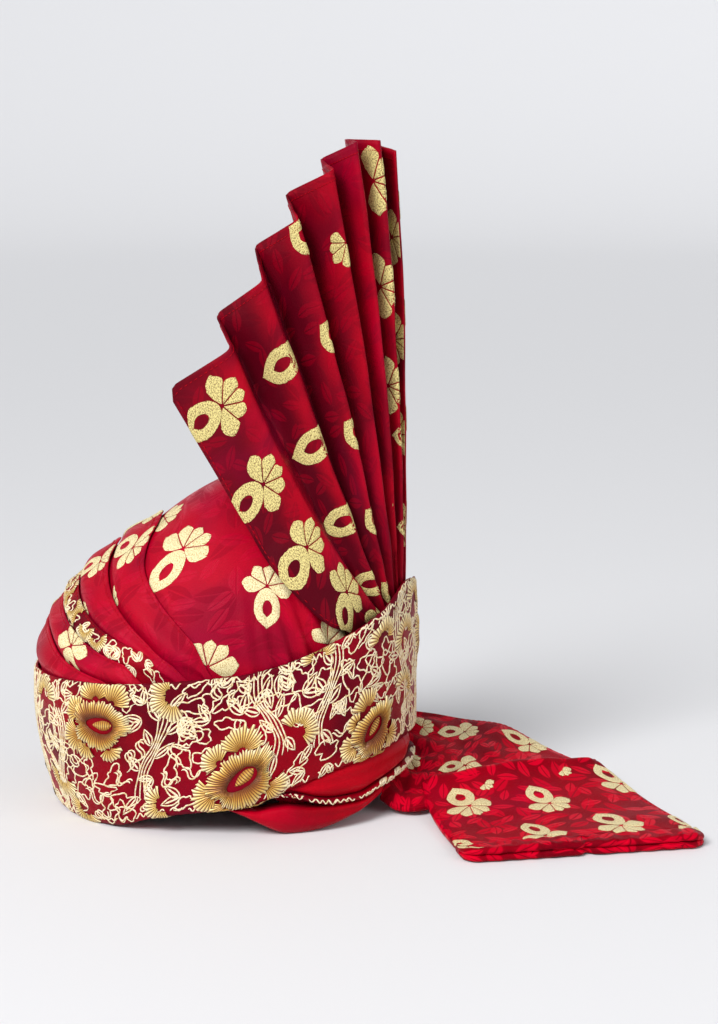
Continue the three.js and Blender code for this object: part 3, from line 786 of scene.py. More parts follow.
def make_crown():
    columns, rows = 288, 96
    angle = full_turn(columns)
    share = np.linspace(0, 1, rows)[None, :]
    start = crown_t(REAR_LIFT * RIM(fold_angle(angle)))
    t = mix(start, TOP_LEVEL, share)
    height = np.interp(t, DENSE, DENSE_LEVEL)
    calm = 1 - ramp(t, 11.0, POLE)
    outer = crown_at(angle, t, crown_swell(angle, height) * calm)
    inner = crown_at(angle, t, -WALL * np.ones_like(t))
    inner[..., 2] = np.minimum(inner[..., 2], CROWN - WALL)
    outer[:, -1, 1] = 0
    inner[:, -1, 1] = 0
    middle = np.where(angle <= 180, 90.0, 270.0)
    radius = np.hypot(outer[..., 0] - 5, outer[..., 1])
    uv = section_uv(np.radians(angle - middle) * radius + middle, outer)
    obj = shell("crown_cloth", outer, inner, uv, cloth_mat, ring=True, close_top=False)
    obj.data.materials.append(lining_mat)
    for poly in obj.data.polygons:
        if max(poly.vertices) >= columns * rows:
            poly.material_index = 1
    rework(obj, merged)
    finish_piece(obj, "cloth", "crown")
    # Motifs may cross the seam at the front, and stay off the crown's pole
    return Cloth(np.concatenate([outer, outer[:20]]).transpose(1, 0, 2)[:-4])


# Wound base
def make_base():
    angle = full_turn(288)
    low = band_foot(angle) + GAP
    side = FOOT - 0.6
    rear = mix(BAND_LOW, BAND_PEAK, 0.42)
    top = np.interp(np.mod(angle, 360.0), [0, 130, 142, 174, 184, 198, 215, 240, 360],
                    [side, side, 86, 86, rear, rear, 86, side, side])
    height = mix(low, top - 0.8, np.linspace(0, 1, 30)[None, :])
    outer = band_point(angle, height, BAND_THICK + 0.9)
    inner = crown_point(angle, height, 0.7)[:, ::-1]
    # The turns of the cloth show as soft ridges from below
    k = np.linspace(0, 1, 20)[None, :, None]
    turns = np.abs(np.sin(np.pi * (k[..., 0] * 4 + angle / 360.0)))
    foot = mix(inner[:, -1:], outer[:, :1], k)
    foot[..., 2] += 1.6 * (1 - turns) + 0.3 * noise(angle / 5.0, k[..., 0] * 3, 4)
    lid = mix(outer[:, -1:], inner[:, :1], k)
    lid[..., 2] += 1.5 * np.abs(np.sin(np.pi * (k[..., 0] * 3 - angle / 360.0))) - 0.8
    section = np.concatenate([outer, lid[:, 1:-1], inner, foot[:, 1:-1]], axis=1)
    obj = loops_mesh("base_wrap_cloth", section, section_uv(angle * 1.75, section), cloth_mat, True)
    finish_piece(obj, "cloth", "base_wrap")


# Band
BAND_COLUMNS, BAND_ROWS = 432, 44
BAND_LAP = 40


def make_band():
    angle = full_turn(BAND_COLUMNS)
    foot, top = band_foot(angle), band_top(angle)
    s = np.linspace(0, 1, BAND_ROWS)[None, :]
    fray_top, fray_low = (0.5 * noise(angle / 1.1, 0 * angle, seed, 9, 1, 4) for seed in (21, 22))
    z = mix(foot + fray_low * ramp(foot, 0, 2), top + fray_top, s)
    rumple = 0.45 * noise(angle / 9.0, s * 3.0, 8) * np.sin(math.pi * s) ** 0.5
    outer = band_point(angle, z, -rumple)
    inner = band_point(angle, z, BAND_THICK - 0.6 - rumple)
    edge = np.minimum(s, 1 - s) * 90
    round_edge = 0.8 * (1 - np.clip(edge / 1.6, 0, 1)) ** 2
    outer = outer + (inner - outer) * (round_edge * 0.5)[..., None]
    arc = np.interp(angle, ARC_ANGLES, ARC_LENGTH)
    uv = np.stack(np.broadcast_arrays(arc, z), -1)
    obj = shell("band_cloth", outer, inner, uv, ground_mat, ring=True)
    finish_piece(obj, "embroidered_band", "band")
    wrap = np.concatenate([outer[-BAND_LAP:], outer, outer[:BAND_LAP]])
    return Cloth(wrap.transpose(1, 0, 2))


# Folds over the forehead
LIP = 0.2
FOLD_UV = 1.8


def fold_low(index, angle):
    """How far from the crown the underside of a fold lies."""
    low = LAYER * (index + 1) + GAP * (2.5 if index > 0 else 1.5)
    for under in FOLDS[:index]:
        low = low + fold_thick(under, angle)
    return low


def make_fold(index, material, slot_name):
    fold = FOLDS[index]
    angle = np.linspace(-fold["end"], fold["end"], 200)[:, None]
    low = fold_low(index, angle)
    thick = fold_thick(fold, angle)
    top = np.maximum(fold_top(fold, angle), FOOT + 10)
    tuck = ramp(np.abs(angle), fold["end"] - 12, fold["end"])
    top = mix(top, np.minimum(top, band_top(angle) - 5), tuck)
    cover = band_top(angle)
    if index + 1 < len(FOLDS):
        after = FOLDS[index + 1]
        cover = fold_top(after, np.clip(angle, -after["end"], after["end"]))
    cover = np.clip(np.minimum(cover, top - 7) - 4, FOOT + 4, top - 5)
    # Outer face from the foot up, over the lip, and down the inner face
    s = np.linspace(0, 1, 12)[None, :-1]
    hidden = crown_point_at(angle, mix(FOOT, cover, s), low + thick * mix(0.5, 0.75, s))
    s = np.linspace(0, 1, 26)[None, :]
    height = mix(cover, top - thick * LIP, s)
    crease = 0.55 * np.sin(s * 6.3 + 1.5 * noise(angle / 30.0, s * 1.2, 40 + index))
    roll = 2.4 * np.sin(math.pi * s) ** 1.3
    bulge = (crease * ramp(s, 0.1, 0.4) + roll) * np.clip((top - cover) / 26, 0.15, 1)
    full = mix(0.75, 1.0, ramp(s, 0, 0.4)) - (1 - 2 * LIP) * ramp(s, 0.55, 1.0)
    body = low + thick * full + bulge * np.sin(math.pi * s) ** 0.7
    shown = crown_point_at(angle, height, body)
    turn = np.linspace(0, math.pi, 11)[None, 1:-1]
    lip = crown_point_at(angle, top - thick * LIP * (1 - np.sin(turn)),
                         low + thick * LIP * (1 + np.cos(turn)))
    s = np.linspace(1, 0, 26)[None, :]
    back = crown_point_at(angle, mix(FOOT, top - thick * LIP, s), low)
    section = np.concatenate([hidden, shown, lip, back], axis=1)
    obj = loops_mesh(fold["name"] + "_cloth", section, section_uv(angle * FOLD_UV, section),
                     material, False)
    finish_piece(obj, slot_name, fold["name"])
    front = np.concatenate([hidden[:, -3:], shown, lip[:, :5]], axis=1)
    return Cloth(front.transpose(1, 0, 2))


def make_folds():
    cloths = {}
    for index, fold in enumerate(FOLDS):
        look = (ground_mat, "embroidered_trim") if fold["name"] == "wrap_trim" else (cloth_mat, "cloth")
        cloths[fold["name"]] = make_fold(index, *look)
    return cloths


# Rolls and trim under the band at the back
SEAM = hermite([100, 105, 110, 115, 120, 135, 145, 160, 180],
               [0.34, 0.4, 0.43, 0.4, 0.38, 0.38, 0.48, 0.58, 0.67])
LOWER = hermite([84, 90, 97, 104, 110, 115, 121, 127, 134, 145, 180],
                [0.26, 0.19, 0.12, 0.05, 0.01, 0, 0.015, 0.06, 0.15, 0.29, 0.5])
TRIM_HALF = 2.3


def seam(angle):
    return REAR_LIFT * SEAM(fold_angle(angle))


def against_crown(angle, height):
    return crown_point(angle, height, GAP)


def in_trim(angle, height):
    return band_point(angle, height, 5.0)


def crescent(name, material, low, high, inner_at, bulge, start, end, slot_name, seed,
             grows=(97, 127)):
    """Padded crescent between two heights; it grows to full height between two angles."""
    angle = np.linspace(start, end, int(abs(end - start) / 0.6))[:, None]
    full = ramp(np.abs(angle), *grows) ** 0.75
    hidden = band_foot(angle) + 2.0
    bottom = mix(hidden, low(angle), full)
    top = np.maximum(mix(hidden, high(angle), full), bottom + 1.0)
    s = np.linspace(0, 1, 24)[None, :]
    swell = bulge - 3.2 * np.abs(2 * s - 1) ** 4
    size = np.clip((top - bottom) / 14, 0.1, 1)
    crease = size * (0.5 * np.sin(s * 9 + angle / 11.0) + 0.5 * noise(angle / 12.0, s * 2, seed))
    z = mix(bottom, top, s)
    near_end = np.minimum(np.abs(angle - start), np.abs(end - angle))
    tuck = 7.0 * (1 - np.sqrt(np.clip(near_end / 14.0, 0, 1))) + 3.0 * (1 - full)
    if slot_name == "embroidered_trim":
        tuck = np.minimum(tuck * 0.4, 3.6)
    outer = band_point(angle, z, tuck - (swell + crease * np.sin(math.pi * s)))
    section = np.concatenate([outer, inner_at(angle, z[:, ::-1])], axis=1)
    heights = np.concatenate([z, z[:, ::-1] + 20], axis=1)
    uv = np.stack(np.broadcast_arrays(angle * FOLD_UV, heights), -1)
    obj = loops_mesh(name + "_cloth", section, uv, material, False)
    finish_piece(obj, slot_name, name)
    return Cloth(outer.transpose(1, 0, 2), 1.0 if end > start else -1.0)


def make_rolls():
    trims = []
    for side, turn, upper_end, trim_end, lower_end in (("near", 1, 175, 180, 150),
                                                       ("far", -1, 140, 140, 140)):
        crescent(f"upper_roll_{side}", plain_mat, lambda a: seam(a) + TRIM_HALF + GAP,
                 lambda a: band_foot(a) - GAP, against_crown, 0, 105 * turn, upper_end * turn,
                 "cloth", 51)
        trims.append(crescent(f"lower_trim_{side}", ground_mat, lambda a: seam(a) - TRIM_HALF,
                              lambda a: seam(a) + TRIM_HALF, in_trim, 1.0, 100 * turn,
                              trim_end * turn, "embroidered_trim", 52))
        crescent(f"lower_roll_{side}", plain_mat, lambda a: REAR_LIFT * LOWER(fold_angle(a)),
                 lambda a: seam(a) - TRIM_HALF - GAP, against_crown, 1.6, 84 * turn,
                 lower_end * turn, "cloth", 53, (82, 110))
    return trims


# Fan: each pleat line runs from its foot through the neck, at the band's edge, to the top
FAN_SEAT = 86.4
FAN_SPREAD = 153.0
FAN_RISE = 304.0
FAN_DEPTH = 22.0
FAN_LENGTH = 330.0
FAN_NECK = 0.12
FAN_BUNDLE = (149.0, 167.0)
FAN_HALF = 0.7
FAN_CORNER = 9.0
FAN_ROWS = 110
PER_FACE = 14
PLEATS = [
    # valley x, valley z, ridge x, ridge z, ridge y, bow, clear
    (1.0, 0.493, 0.725, 0.582, 0.77, 0.026, 0.9),
    (0.797, 0.645, 0.595, 0.72, 0.75, 0.0, 0.73),
    (0.64, 0.783, 0.451, 0.845, 0.7, -0.01, 0.5),
    (0.51, 0.891, 0.314, 0.941, 0.63, -0.013, 0.32),
    (0.366, 0.961, 0.216, 0.997, 0.55, -0.016, 0.18),
    (0.268, 1.0, 0.124, 1.0, 0.445, -0.016, 0.09),
    (0.131, 0.987, 0.059, 0.977, 0.305, -0.01, 0.0),
]
FACES = 2 * len(PLEATS) - 1
# The free edge follows the crown for the first part of its way: angle, height share, stand-off
FREE_EDGE = [(141, 0.56, 6.0), (134, 0.58, 6.6), (126, 0.61, 5.4), (113, 0.72, 4.2),
             (105, 0.8, 6.6)]
ON_CROWN = 0.45


def fan_line(index, ridge, shares):
    """Points of one pleat line, a valley or a ridge."""
    valley_x, valley_z, ridge_x, ridge_z, ridge_y, bow, clear = PLEATS[index]
    x, z = (ridge_x, ridge_z) if ridge else (valley_x, valley_z)
    free = index == 0 and not ridge
    neck_z = mix(BAND_LOW, BAND_PEAK, 0.65)
    angle = mix(*FAN_BUNDLE, (2 * index + ridge) / FACES)
    inset = BAND_THICK + GAP + 1.44 if ridge else float(band_stand_off(angle, 0.6)) - 2.4
    foot, neck = band_point(angle, FAN_SEAT, inset), band_point(angle, neck_z, inset)
    y = -HEAD_SIDE * ridge_y
    if not ridge:
        y += FAN_DEPTH * (0.45 if free else 1)
    edge = band_point(FAN_BUNDLE[1], neck_z, BAND_THICK)
    top = np.array([edge[0] - FAN_SPREAD * x, y, neck_z + FAN_RISE * z])
    on_crown = np.array([neck] + [crown_point(a, CROWN * h, o) for a, h, o in FREE_EDGE])
    out = []
    for t in shares:
        s = (t - FAN_NECK) / (1 - FAN_NECK)
        arc = 4 * s * (1 - s)
        if t < FAN_NECK:
            out.append(mix(foot, neck, t / FAN_NECK))
        elif free:
            u = min(1, s / ON_CROWN) * len(FREE_EDGE)
            p = np.array([float(catmull(on_crown[:, k], u)) for k in range(3)])
            out.append(mix(p, top, max(0, (s - ON_CROWN) / (1 - ON_CROWN))))
        else:
            out.append(mix(neck, top, s) + [
                -FAN_RISE * bow * arc, -FAN_DEPTH * clear * arc * (1.3 - s) * (0.6 if ridge else 1), 0])
    return out


def fan_grid(shares):
    """Zigzag of pleats, row by row, softened so that the pleats have round edges."""
    lines = np.array([fan_line(index, ridge, shares)
                      for index in range(len(PLEATS)) for ridge in (False, True)])
    grid = []
    for r, share in enumerate(shares):
        row = []
        for face in range(FACES):
            a, b = lines[face, r], lines[face + 1, r]
            deep = (0.02 if face % 2 else 0.045) * np.linalg.norm(b - a)
            for c in np.arange(PER_FACE) / PER_FACE:
                belly = deep * math.sin(math.pi * c) * float(ramp(share, 0.2, 0.9))
                row.append(mix(a, b, c) + [0, -belly, 0])
        row.append(lines[FACES, r])
        grid.append(row)
    grid = np.array(grid)
    for _ in range(3):
        soft = grid.copy()
        soft[:, 1:-1] = (grid[:, :-2] + 2 * grid[:, 1:-1] + grid[:, 2:]) / 4
        grid = soft
    return grid


def round_corner(grid, shares):
    """Draws the rows near the top down toward the free edge."""
    from_edge = np.linalg.norm(grid[-1] - grid[-1, 0], axis=-1)
    short = np.clip(1 - from_edge / FAN_CORNER, 0, 1)
    drop = FAN_CORNER * (1 - np.sqrt(1 - short ** 2))
    step = np.linalg.norm(grid[-1] - grid[-2], axis=-1) * FAN_ROWS
    at = shares[:, None] * (1 - (drop / step)[None, :] * ramp(shares, 0.8, 1.0)[:, None])
    row = np.clip(np.floor(at * (FAN_ROWS - 1)).astype(int), 0, FAN_ROWS - 2)
    part = (at * (FAN_ROWS - 1) - row)[..., None]
    column = np.arange(grid.shape[1])[None, :]
    return grid[row, column] * (1 - part) + grid[row + 1, column] * part


def make_fan():
    shares = np.linspace(0, 1, FAN_ROWS)
    grid = round_corner(fan_grid(shares), shares)
    n = unit(np.cross(np.gradient(grid, axis=1), np.gradient(grid, axis=0)))
    v, u = np.meshgrid(shares, np.arange(grid.shape[1]) / PER_FACE, indexing="ij")
    calm = ramp(v, 0.05, 0.35)
    ripple = (0.8 * noise(u * 2.2, v * 7.0, 61) + 0.5 * noise(u * 5.0, v * 16.0, 62)) * calm
    pinch = 0.9 * np.sin(v * 46 + u * 3.0) * (1 - ramp(v, 0.2, 0.5)) * ramp(v, 0.1, 0.2)
    grid = grid + n * (ripple + 0.3 * pinch)[..., None]
    outer, inner = grid + n * FAN_HALF, grid - n * FAN_HALF
    uv = np.stack(np.broadcast_arrays(run_along(grid[-1]), v * FAN_LENGTH), -1)
    obj = shell("fan_cloth", outer.transpose(1, 0, 2), inner.transpose(1, 0, 2),
                uv.transpose(1, 0, 2), fan_mat)
    # Painted shade: darker colour toward each valley of the wide faces, most on the first faces and low
    # down, stored in the shade attribute
    face, part = np.divmod(u[0], 1.0)
    wide = np.where(face % 2 == 0, 1 - part, part)
    depth = ramp(wide, 0.0, 0.55)[:, None] * mix(0.85, 1.1, 1 - ramp(shares, 0.3, 1.0))[None, :]
    early = mix(1.15, 0.4, ramp(face, 3, 8))[:, None]
    depth = early * depth * (0.85 + 0.4 * noise(u * 1.5, v * 7.0, 63).T)
    layer = obj.data.attributes.new("painted_shade", "FLOAT", "POINT")
    layer.data.foreach_set("value", np.clip(np.tile(depth.ravel(), 2), 0, 1))
    rework(obj, merged)
    finish_piece(obj, "cloth", "fan")
    return cloth_facing(outer, 80, 5, (0, -1, 0)), cloth_facing(inner, 80, 5, (0, 1, 0))


# Tail
TAIL_REACH = 200.0
TAIL_WIDTH = 160.0
TAIL_LIFT = REAR_LIFT * 0.75
TAIL_LENGTH = 330.0
TAIL_FLAT = 140.0
TAIL_THICK = 5.2
TAIL_CORNER = 12.0
HEM = 0.93
HEM_SEAM = 0.935
STATIONS = np.array([
    # along, near x y z, far x y z, arch, bow
    [0.0, -0.02, -0.29, 0.14, -0.02, 0.29, 0.92, 0.33, 0.055],
    [0.07, 0.03, -0.34, 0.03, 0.055, 0.3, 1.03, 0, 0.04],
    [0.15, 0.09, -0.36, 0.03, 0.16, 0.31, 0.97, 0, 0.02],
    [0.25, 0.14, -0.325, 0.03, 0.29, 0.425, 0.69, 0.11, 0],
    [0.36, 0.165, -0.26, 0.06, 0.425, 0.525, 0.44, 0.11, 0],
    [0.46, 0.15, -0.21, 0.11, 0.555, 0.375, 0.22, 0.03, 0],
    [0.52, 0.13, -0.18, 0.22, 0.68, 0.19, 0.14, 0.03, 0],
    [0.57, 0.12, -0.225, 0.28, 0.725, 0.12, 0.25, 0.11, 0],
    [0.64, 0.135, -0.356, 0.08, 0.785, -0.02, 0.11, 0.08, 0],
    [0.76, 0.165, -0.55, 0, 0.865, -0.25, 0, 0.03, 0],
    [0.88, 0.2, -0.74, 0, 0.95, -0.51, 0, 0, 0],
    [1.0, 0.23, -0.91, 0, 1.005, -0.725, 0, 0, 0],
])


def tail_middle(along, across):
    """Middle surface: each row an arch from the near edge to the far edge."""
    place = np.interp(along, STATIONS[:, 0], np.arange(len(STATIONS)))
    values = [catmull(STATIONS[:, k], place)[:, None] for k in range(STATIONS.shape[1])]

    def edge(x, y, z):
        return np.stack([HEAD_FRONT * 0.97 + TAIL_REACH * x, TAIL_WIDTH * y,
                         3.0 + TAIL_LIFT * z], -1)

    middle = mix(edge(*values[1:4]), edge(*values[4:7]), across[..., None])
    arch = np.sin(math.pi * across)
    middle[..., 0] += TAIL_REACH * values[8] * arch
    middle[..., 2] += TAIL_LIFT * values[7] * arch
    return middle


def hem_end(top, low, way, w):
    """The hem is turned under: its end shows two soft rolls, one on the other."""
    up = np.array([0.0, 0.0, 1.0])
    way = way * [1, 1, 0]
    radius = ((top[:, 2] - low[:, 2]) / 4)[:, None]
    puff = radius * (1.35 + 0.22 * np.sin(w * 70 + 2.5 * noise(w * 9, 0 * w, 75)))[:, None]
    more_top, more_low = [], []
    for turn in np.radians(np.linspace(72, -88, 11)):
        out, rise = math.cos(turn) * puff * way, math.sin(turn) * radius * up
        more_top.append(top - up * radius + out + rise)
        more_low.append(low + up * radius + out * 0.9 - rise)
    return more_top, more_low


def make_tail():
    rows, columns = 200, 110
    along, across = np.linspace(0, 1, rows), np.linspace(0, 1, columns)[None, :]
    mid = tail_middle(along, across)
    u, w = spread(along[:, None], across)
    way = np.gradient(mid, axis=0)
    n = unit(np.cross(way, np.gradient(mid, axis=1)))
    n = np.where(n[..., 2:3] < 0, -n, n)
    # Gathers at the root, soft rumples, and a crease where the cloth turns over itself
    gather = 2.2 * np.sin(w * 31 + 2.2 * noise(u * 6, w * 4, 71)) * (1 - ramp(u, 0.02, 0.26))
    rumple = 1.1 * noise(u * 16, w * 7, 72) + 0.6 * noise(u * 34, w * 15, 73)
    crease = 2.6 * np.exp(-((u - 0.565 - 0.012 * w) / 0.014) ** 2)
    crease = crease - 3.2 * np.exp(-((u - 0.525 - 0.012 * w) / 0.016) ** 2)
    raised = gather + rumple * ramp(u, 0.1, 0.3) * (1 - 0.5 * ramp(u, 0.9, 0.95)) + crease
    # Thickness, thin at the edges, doubled in the hem and notched at its middle
    from_edge = np.minimum(w, 1 - w)
    edge = from_edge / 0.06
    rim = mix(0.42, 1.0, np.sqrt(np.clip(edge, 0, 1)))
    pucker = 0.7 * np.sin(w * 95 + 2 * noise(u * 5, w * 9, 74)) * ramp(u, 0.9, 0.95)
    groove = np.exp(-((u - HEM_SEAM) / 0.006) ** 2)
    notch = np.exp(-((w - 0.50) / 0.02) ** 2) * ramp(u, 0.955, 0.975) * (u > HEM)
    thick = TAIL_THICK * rim + TAIL_THICK * ramp(u, 0.925, 0.955) * rim - 2.6 * groove + 0.9 * pucker
    thick = np.maximum(0.8, thick - 2.0 * notch)
    over = thick * 0.6 + raised * np.clip(edge, 0.2, 1) * ramp(mid[..., 2], 1, 4)
    top = mid + n * over[..., None]
    low = mid - n * (thick / 2)[..., None]
    low += n * (raised * 0.8 * ramp(mid[..., 2], 3.4, 9))[..., None]
    low[..., 2] = np.maximum(0.0, low[..., 2])
    top[..., 2] = np.maximum(low[..., 2] + 0.6, top[..., 2])
    side = np.clip(1 - from_edge * TAIL_WIDTH / TAIL_CORNER, 0, 1)
    corner = TAIL_CORNER * (1 - np.sqrt(1 - side ** 2)) * ramp(u, 0.86, 1.0)
    way = unit(way)
    shrink = way * (notch * 4.0 + corner)[..., None]
    cloth_top, low = top - shrink, low - shrink
    more_top, more_low = hem_end(cloth_top[-1], low[-1], way[-1], w[-1])
    top, low = np.concatenate([cloth_top, more_top]), np.concatenate([low, more_low])
    end = len(more_top)
    more = np.linspace(1.005, 1.04, end)[:, None] * np.ones_like(across)
    w, u = np.concatenate([w, w[:end]]), np.concatenate([u, more])
    obj = shell("tail_cloth", top, low, np.stack([w * TAIL_FLAT, u * TAIL_LENGTH], -1), tail_mat)
    finish_piece(obj, "cloth", "tail")
    return cloth_facing(cloth_top, 150, 50, (0, 0, 1))


# Places of the woven motifs: pixel in the picture, spin, size and the parts left out
FAN_SPOTS = [
    # pleat face, millimetres past its last line (None where the motif lies on the face), motifs
    (0, None, [(223, 406, 0, 1.0, ()), (264, 485, 2, 0.95, ()), (306, 547, 0, 0.9, ()),
               (346, 593, 3, 0.85, ()), (377, 626, 0, 0.8, (LEAF,))]),
    (2, 12.0, [(270, 371, 2, 1.1, LEAF_ONLY), (308, 448, 2, 1.05, LEAF_ONLY),
               (343, 522, 0, 1.0, LEAF_ONLY), (371, 584, 0, 0.9, LEAF_ONLY)]),
    (4, 13.0, [(303, 262, -50, 0.95, LEAF_ONLY), (327, 362, -50, 0.9, LEAF_ONLY),
               (352, 456, -50, 0.9, LEAF_ONLY), (373, 539, -50, 0.85, LEAF_ONLY),
               (391, 610, -50, 0.8, LEAF_ONLY)]),
    (6, 1.0, [(346, 245, 185, 0.75, (LEAF, 4))]),
    (10, None, [(372, 182, 8, 1.1, (LEAF,)), (380, 286, 8, 1.05, (LEAF,)),
                (388, 385, 5, 0.95, (LEAF,))]),
    (12, None, [(392, 236, 0, 0.9, ()), (394, 337, 0, 0.9, ()), (396, 435, 0, 0.9, ()),
                (399, 527, 0, 0.8, ())]),
]
CROWN_SPOTS = [(183, 549, 77, 1.0, ()), (268, 585, 84, 0.82, ()), (208, 669, 90, 1.0, (LEAF,)),
               (330, 646, 108, 0.9, (LEAF, 0)), (165, 519, 60, 0.8, ())]
FOLD_SPOTS = {
    "wrap_fold_2": [(71, 646, 100, 0.85, ())],
    "wrap_fold_4": [(100, 562, 60, 0.7, ()), (86, 611, 60, 0.3, (LEAF,))],
    "wrap_fold_5": [(133, 548, 40, 0.8, ()), (114, 602, 85, 0.5, (0, 4))],
}
TAIL_SPOTS = [
    (465, 732, 82, 0.78, ()), (529, 744, 82, 0.78, ()), (465, 765, 82, 0.78, ()),
    (621, 784, 82, 0.85, ()), (470, 806, 82, 0.85, ()), (550, 803, 82, 0.8, ()),
    (621, 826, 82, 0.85, ()), (545, 836, 82, 0.8, ()), (468, 846, 82, 0.7, (4,)),
    (484, 783, 82, 0.4, (LEAF, 0)), (561, 770, 82, 0.4, (LEAF, 0)), (692, 826, 82, 0.7, ()),
    (422, 727, 82, 0.5, (LEAF,)), (411, 755, 82, 0.5, (LEAF,)),
]
# Motifs out of the picture's sight: row and column on the cloth, and spin on the crown
CROWN_FAR = [(40, 124, 92), (60, 132, 80), (42, 148, 95), (30, 166, 88), (52, 170, 84), (34, 190, 92),
             (54, 198, 88), (36, 214, 95), (56, 226, 90), (76, 150, 85), (76, 206, 92)]
FOLD_FAR = {
    "wrap_fold_5": ((24, 60), (20, 30), (24, 95)),
    "wrap_fold_4": ((20, 45), (22, 80)),
    "wrap_fold_2": ((20, 55), (20, 90)),
}
FAN_BACK_ROWS = (98, 76, 54, 34)
FAN_HEM_ROW = 107.0
TAIL_HEM_ROW = 186.5
FOLD_HEM_ROW = 26.5


def stamp(out, cloth, spots, face=None, past=None):
    """Motifs at picture places; with past, their middles are set beyond the face's last line."""
    first, last = 0, None
    if face is not None:
        first = face * PER_FACE
        last = min(first + PER_FACE, len(cloth.columns) - 2)
    for seed, (px, py, spin, size, skip) in enumerate(spots):
        where = cloth.locate(px, py, first, last)
        if past is not None:
            row, column = cloth.place(where[0], last, np.array([past]), np.array([0.0]))
            where = (float(row[0]), float(column[0]))
        butti(out, cloth, where, spin, size, seed + first, skip)


def fan_motifs(front, back):
    out = Stitches()
    for face, past, spots in FAN_SPOTS:
        stamp(out, front, spots, face, past)
    for face in range(0, FACES, 2):
        shift = 10.0 if face % 4 else 0.0
        for line, row in enumerate(FAN_BACK_ROWS):
            butti(out, back, (row - shift, face * PER_FACE + 6.5), 180, 0.9, face * 5 + line)
    out.build("fan_motifs", gold_fan, "cloth")


def cloth_motifs(crown, folds, tail):
    out = Stitches()
    stamp(out, crown, CROWN_SPOTS)
    for seed, (row, column, spin) in enumerate(CROWN_FAR):
        butti(out, crown, (row, column), spin, 0.95, 300 + seed)
    for name, spots in FOLD_SPOTS.items():
        stamp(out, folds[name], spots)
    for name, places in FOLD_FAR.items():
        for seed, where in enumerate(places):
            butti(out, folds[name], where, 80, 0.7, 500 + seed)
    stamp(out, tail, TAIL_SPOTS)
    out.build("cloth_motifs", gold_pale, "cloth")


def seam_stitches(fan_front, fan_back, tail, folds):
    """Running stitches along the hems."""
    out = Stitches()
    dash, flat = np.linspace(0, 2.6, 4), np.zeros(4)

    def running(cloth, spots, path):
        for row, column in spots:
            out.ribbon(cloth, row, column, np.stack(path, 1), 0.55, 0.45)

    across, down = (dash, flat), (flat, dash)
    for cloth in (fan_front, fan_back):
        running(cloth, [(FAN_HEM_ROW, c) for c in np.arange(1, 180, 1.1)], across)
    running(fan_front, [(r, 0.8) for r in np.arange(16, FAN_HEM_ROW - 1, 1.7)], down)
    running(tail, [(TAIL_HEM_ROW, c) for c in np.arange(2, 107, 2.6)], across)
    for column in (2.6, 106.4):
        running(tail, [(r, column) for r in np.arange(30, 186, 3.2)], down)
    for cloth in folds.values():
        running(cloth, [(FOLD_HEM_ROW, c) for c in np.arange(8, 190, 2.6)], across)
    out.build("seam_stitches", plain_mat, "cloth")


# Embroidery of the band: shapes are drawn flat in millimetres and laid on the cloth
def leaf_path(length, width, steps=11):
    t = np.linspace(0, 1, steps)
    half = width / 2 * np.sin(math.pi * t ** 0.8)
    return np.concatenate([np.stack([length * t, half], 1),
                           np.stack([length * t, -half], 1)[::-1][1:]])


def lobed_path(size, rng):
    turn = np.linspace(0, 2 * math.pi, 28)
    reach = 1.0
    for k, least, most in ((2, 0.1, 0.3), (3, 0.12, 0.3), (5, 0.1, 0.2), (7, 0.03, 0.1)):
        reach = reach + rng.uniform(least, most) * np.sin(k * turn + rng.uniform(0, 6.28))
    squash = rng.uniform(0.55, 0.85)
    return size / 2 * np.stack([reach * np.cos(turn), squash * reach * np.sin(turn)], 1)


def curl_path(length, rng):
    steps = 18
    t = np.linspace(0, 1, steps)
    heading = (rng.uniform(0, 6.28) + rng.uniform(0.8, 2.0) * np.sin(t * 7 + rng.uniform(0, 6.28))
               + rng.uniform(-2.5, 2.5) * t)
    step = length / steps
    path = np.cumsum(np.stack([np.cos(heading), np.sin(heading)], 1) * step, axis=0)
    return path - path.mean(0)


def moved(path, angle, dx=0.0, dy=0.0):
    x, y = turned(path[:, 0], path[:, 1], angle)
    return np.stack([x + dx, y + dy], 1)


def thread_leaf(out, cloth, where, angle, dx, dy, length, width, thread=0.95):
    """Pointed leaf in outline, with a stitched midrib."""
    out.ribbon(cloth, *where, moved(leaf_path(length, width), angle, dx, dy), thread, 0.5)
    rib = np.stack([np.linspace(0.1, 0.8, 6) * length, np.zeros(6)], 1)
    out.ribbon(cloth, *where, moved(rib, angle, dx, dy), thread * 1.3, 0.55)


def leaf_pair(out, cloth, where, spin, splay, length, width):
    for turn in (-splay, splay):
        thread_leaf(out, cloth, where, spin + turn, 0, 0, length, width)


S_CURVE = 5.2


def stem(out, cloth, where, length, bend, lean, rng):
    """Bundle of long strands in an S curve, with pointed leaves on both sides."""
    t = np.linspace(-0.5, 0.5, 22)
    middle = bend * np.sin(t * S_CURVE)
    for k in range(4):
        aside = (k - 1.5) * (1.7 + 5.5 * np.abs(t) ** 1.6) + 0.5 * np.sin(t * 17 + k)
        path = moved(np.stack([middle + aside, t * length], 1), lean)
        out.ribbon(cloth, *where, path, 0.95, 0.6)
    for k in range(8):
        share = -0.46 + 0.13 * k
        side = 1 if k % 2 else -1
        x, y = turned(bend * math.sin(share * S_CURVE) + side * 3.4, share * length, lean)
        heading = 90 + lean - side * rng.uniform(28, 62)
        if share < -0.3:
            heading = -90 + lean + side * rng.uniform(20, 50)
        thread_leaf(out, cloth, where, heading, x, y, rng.uniform(11, 17), rng.uniform(4.5, 6.5))


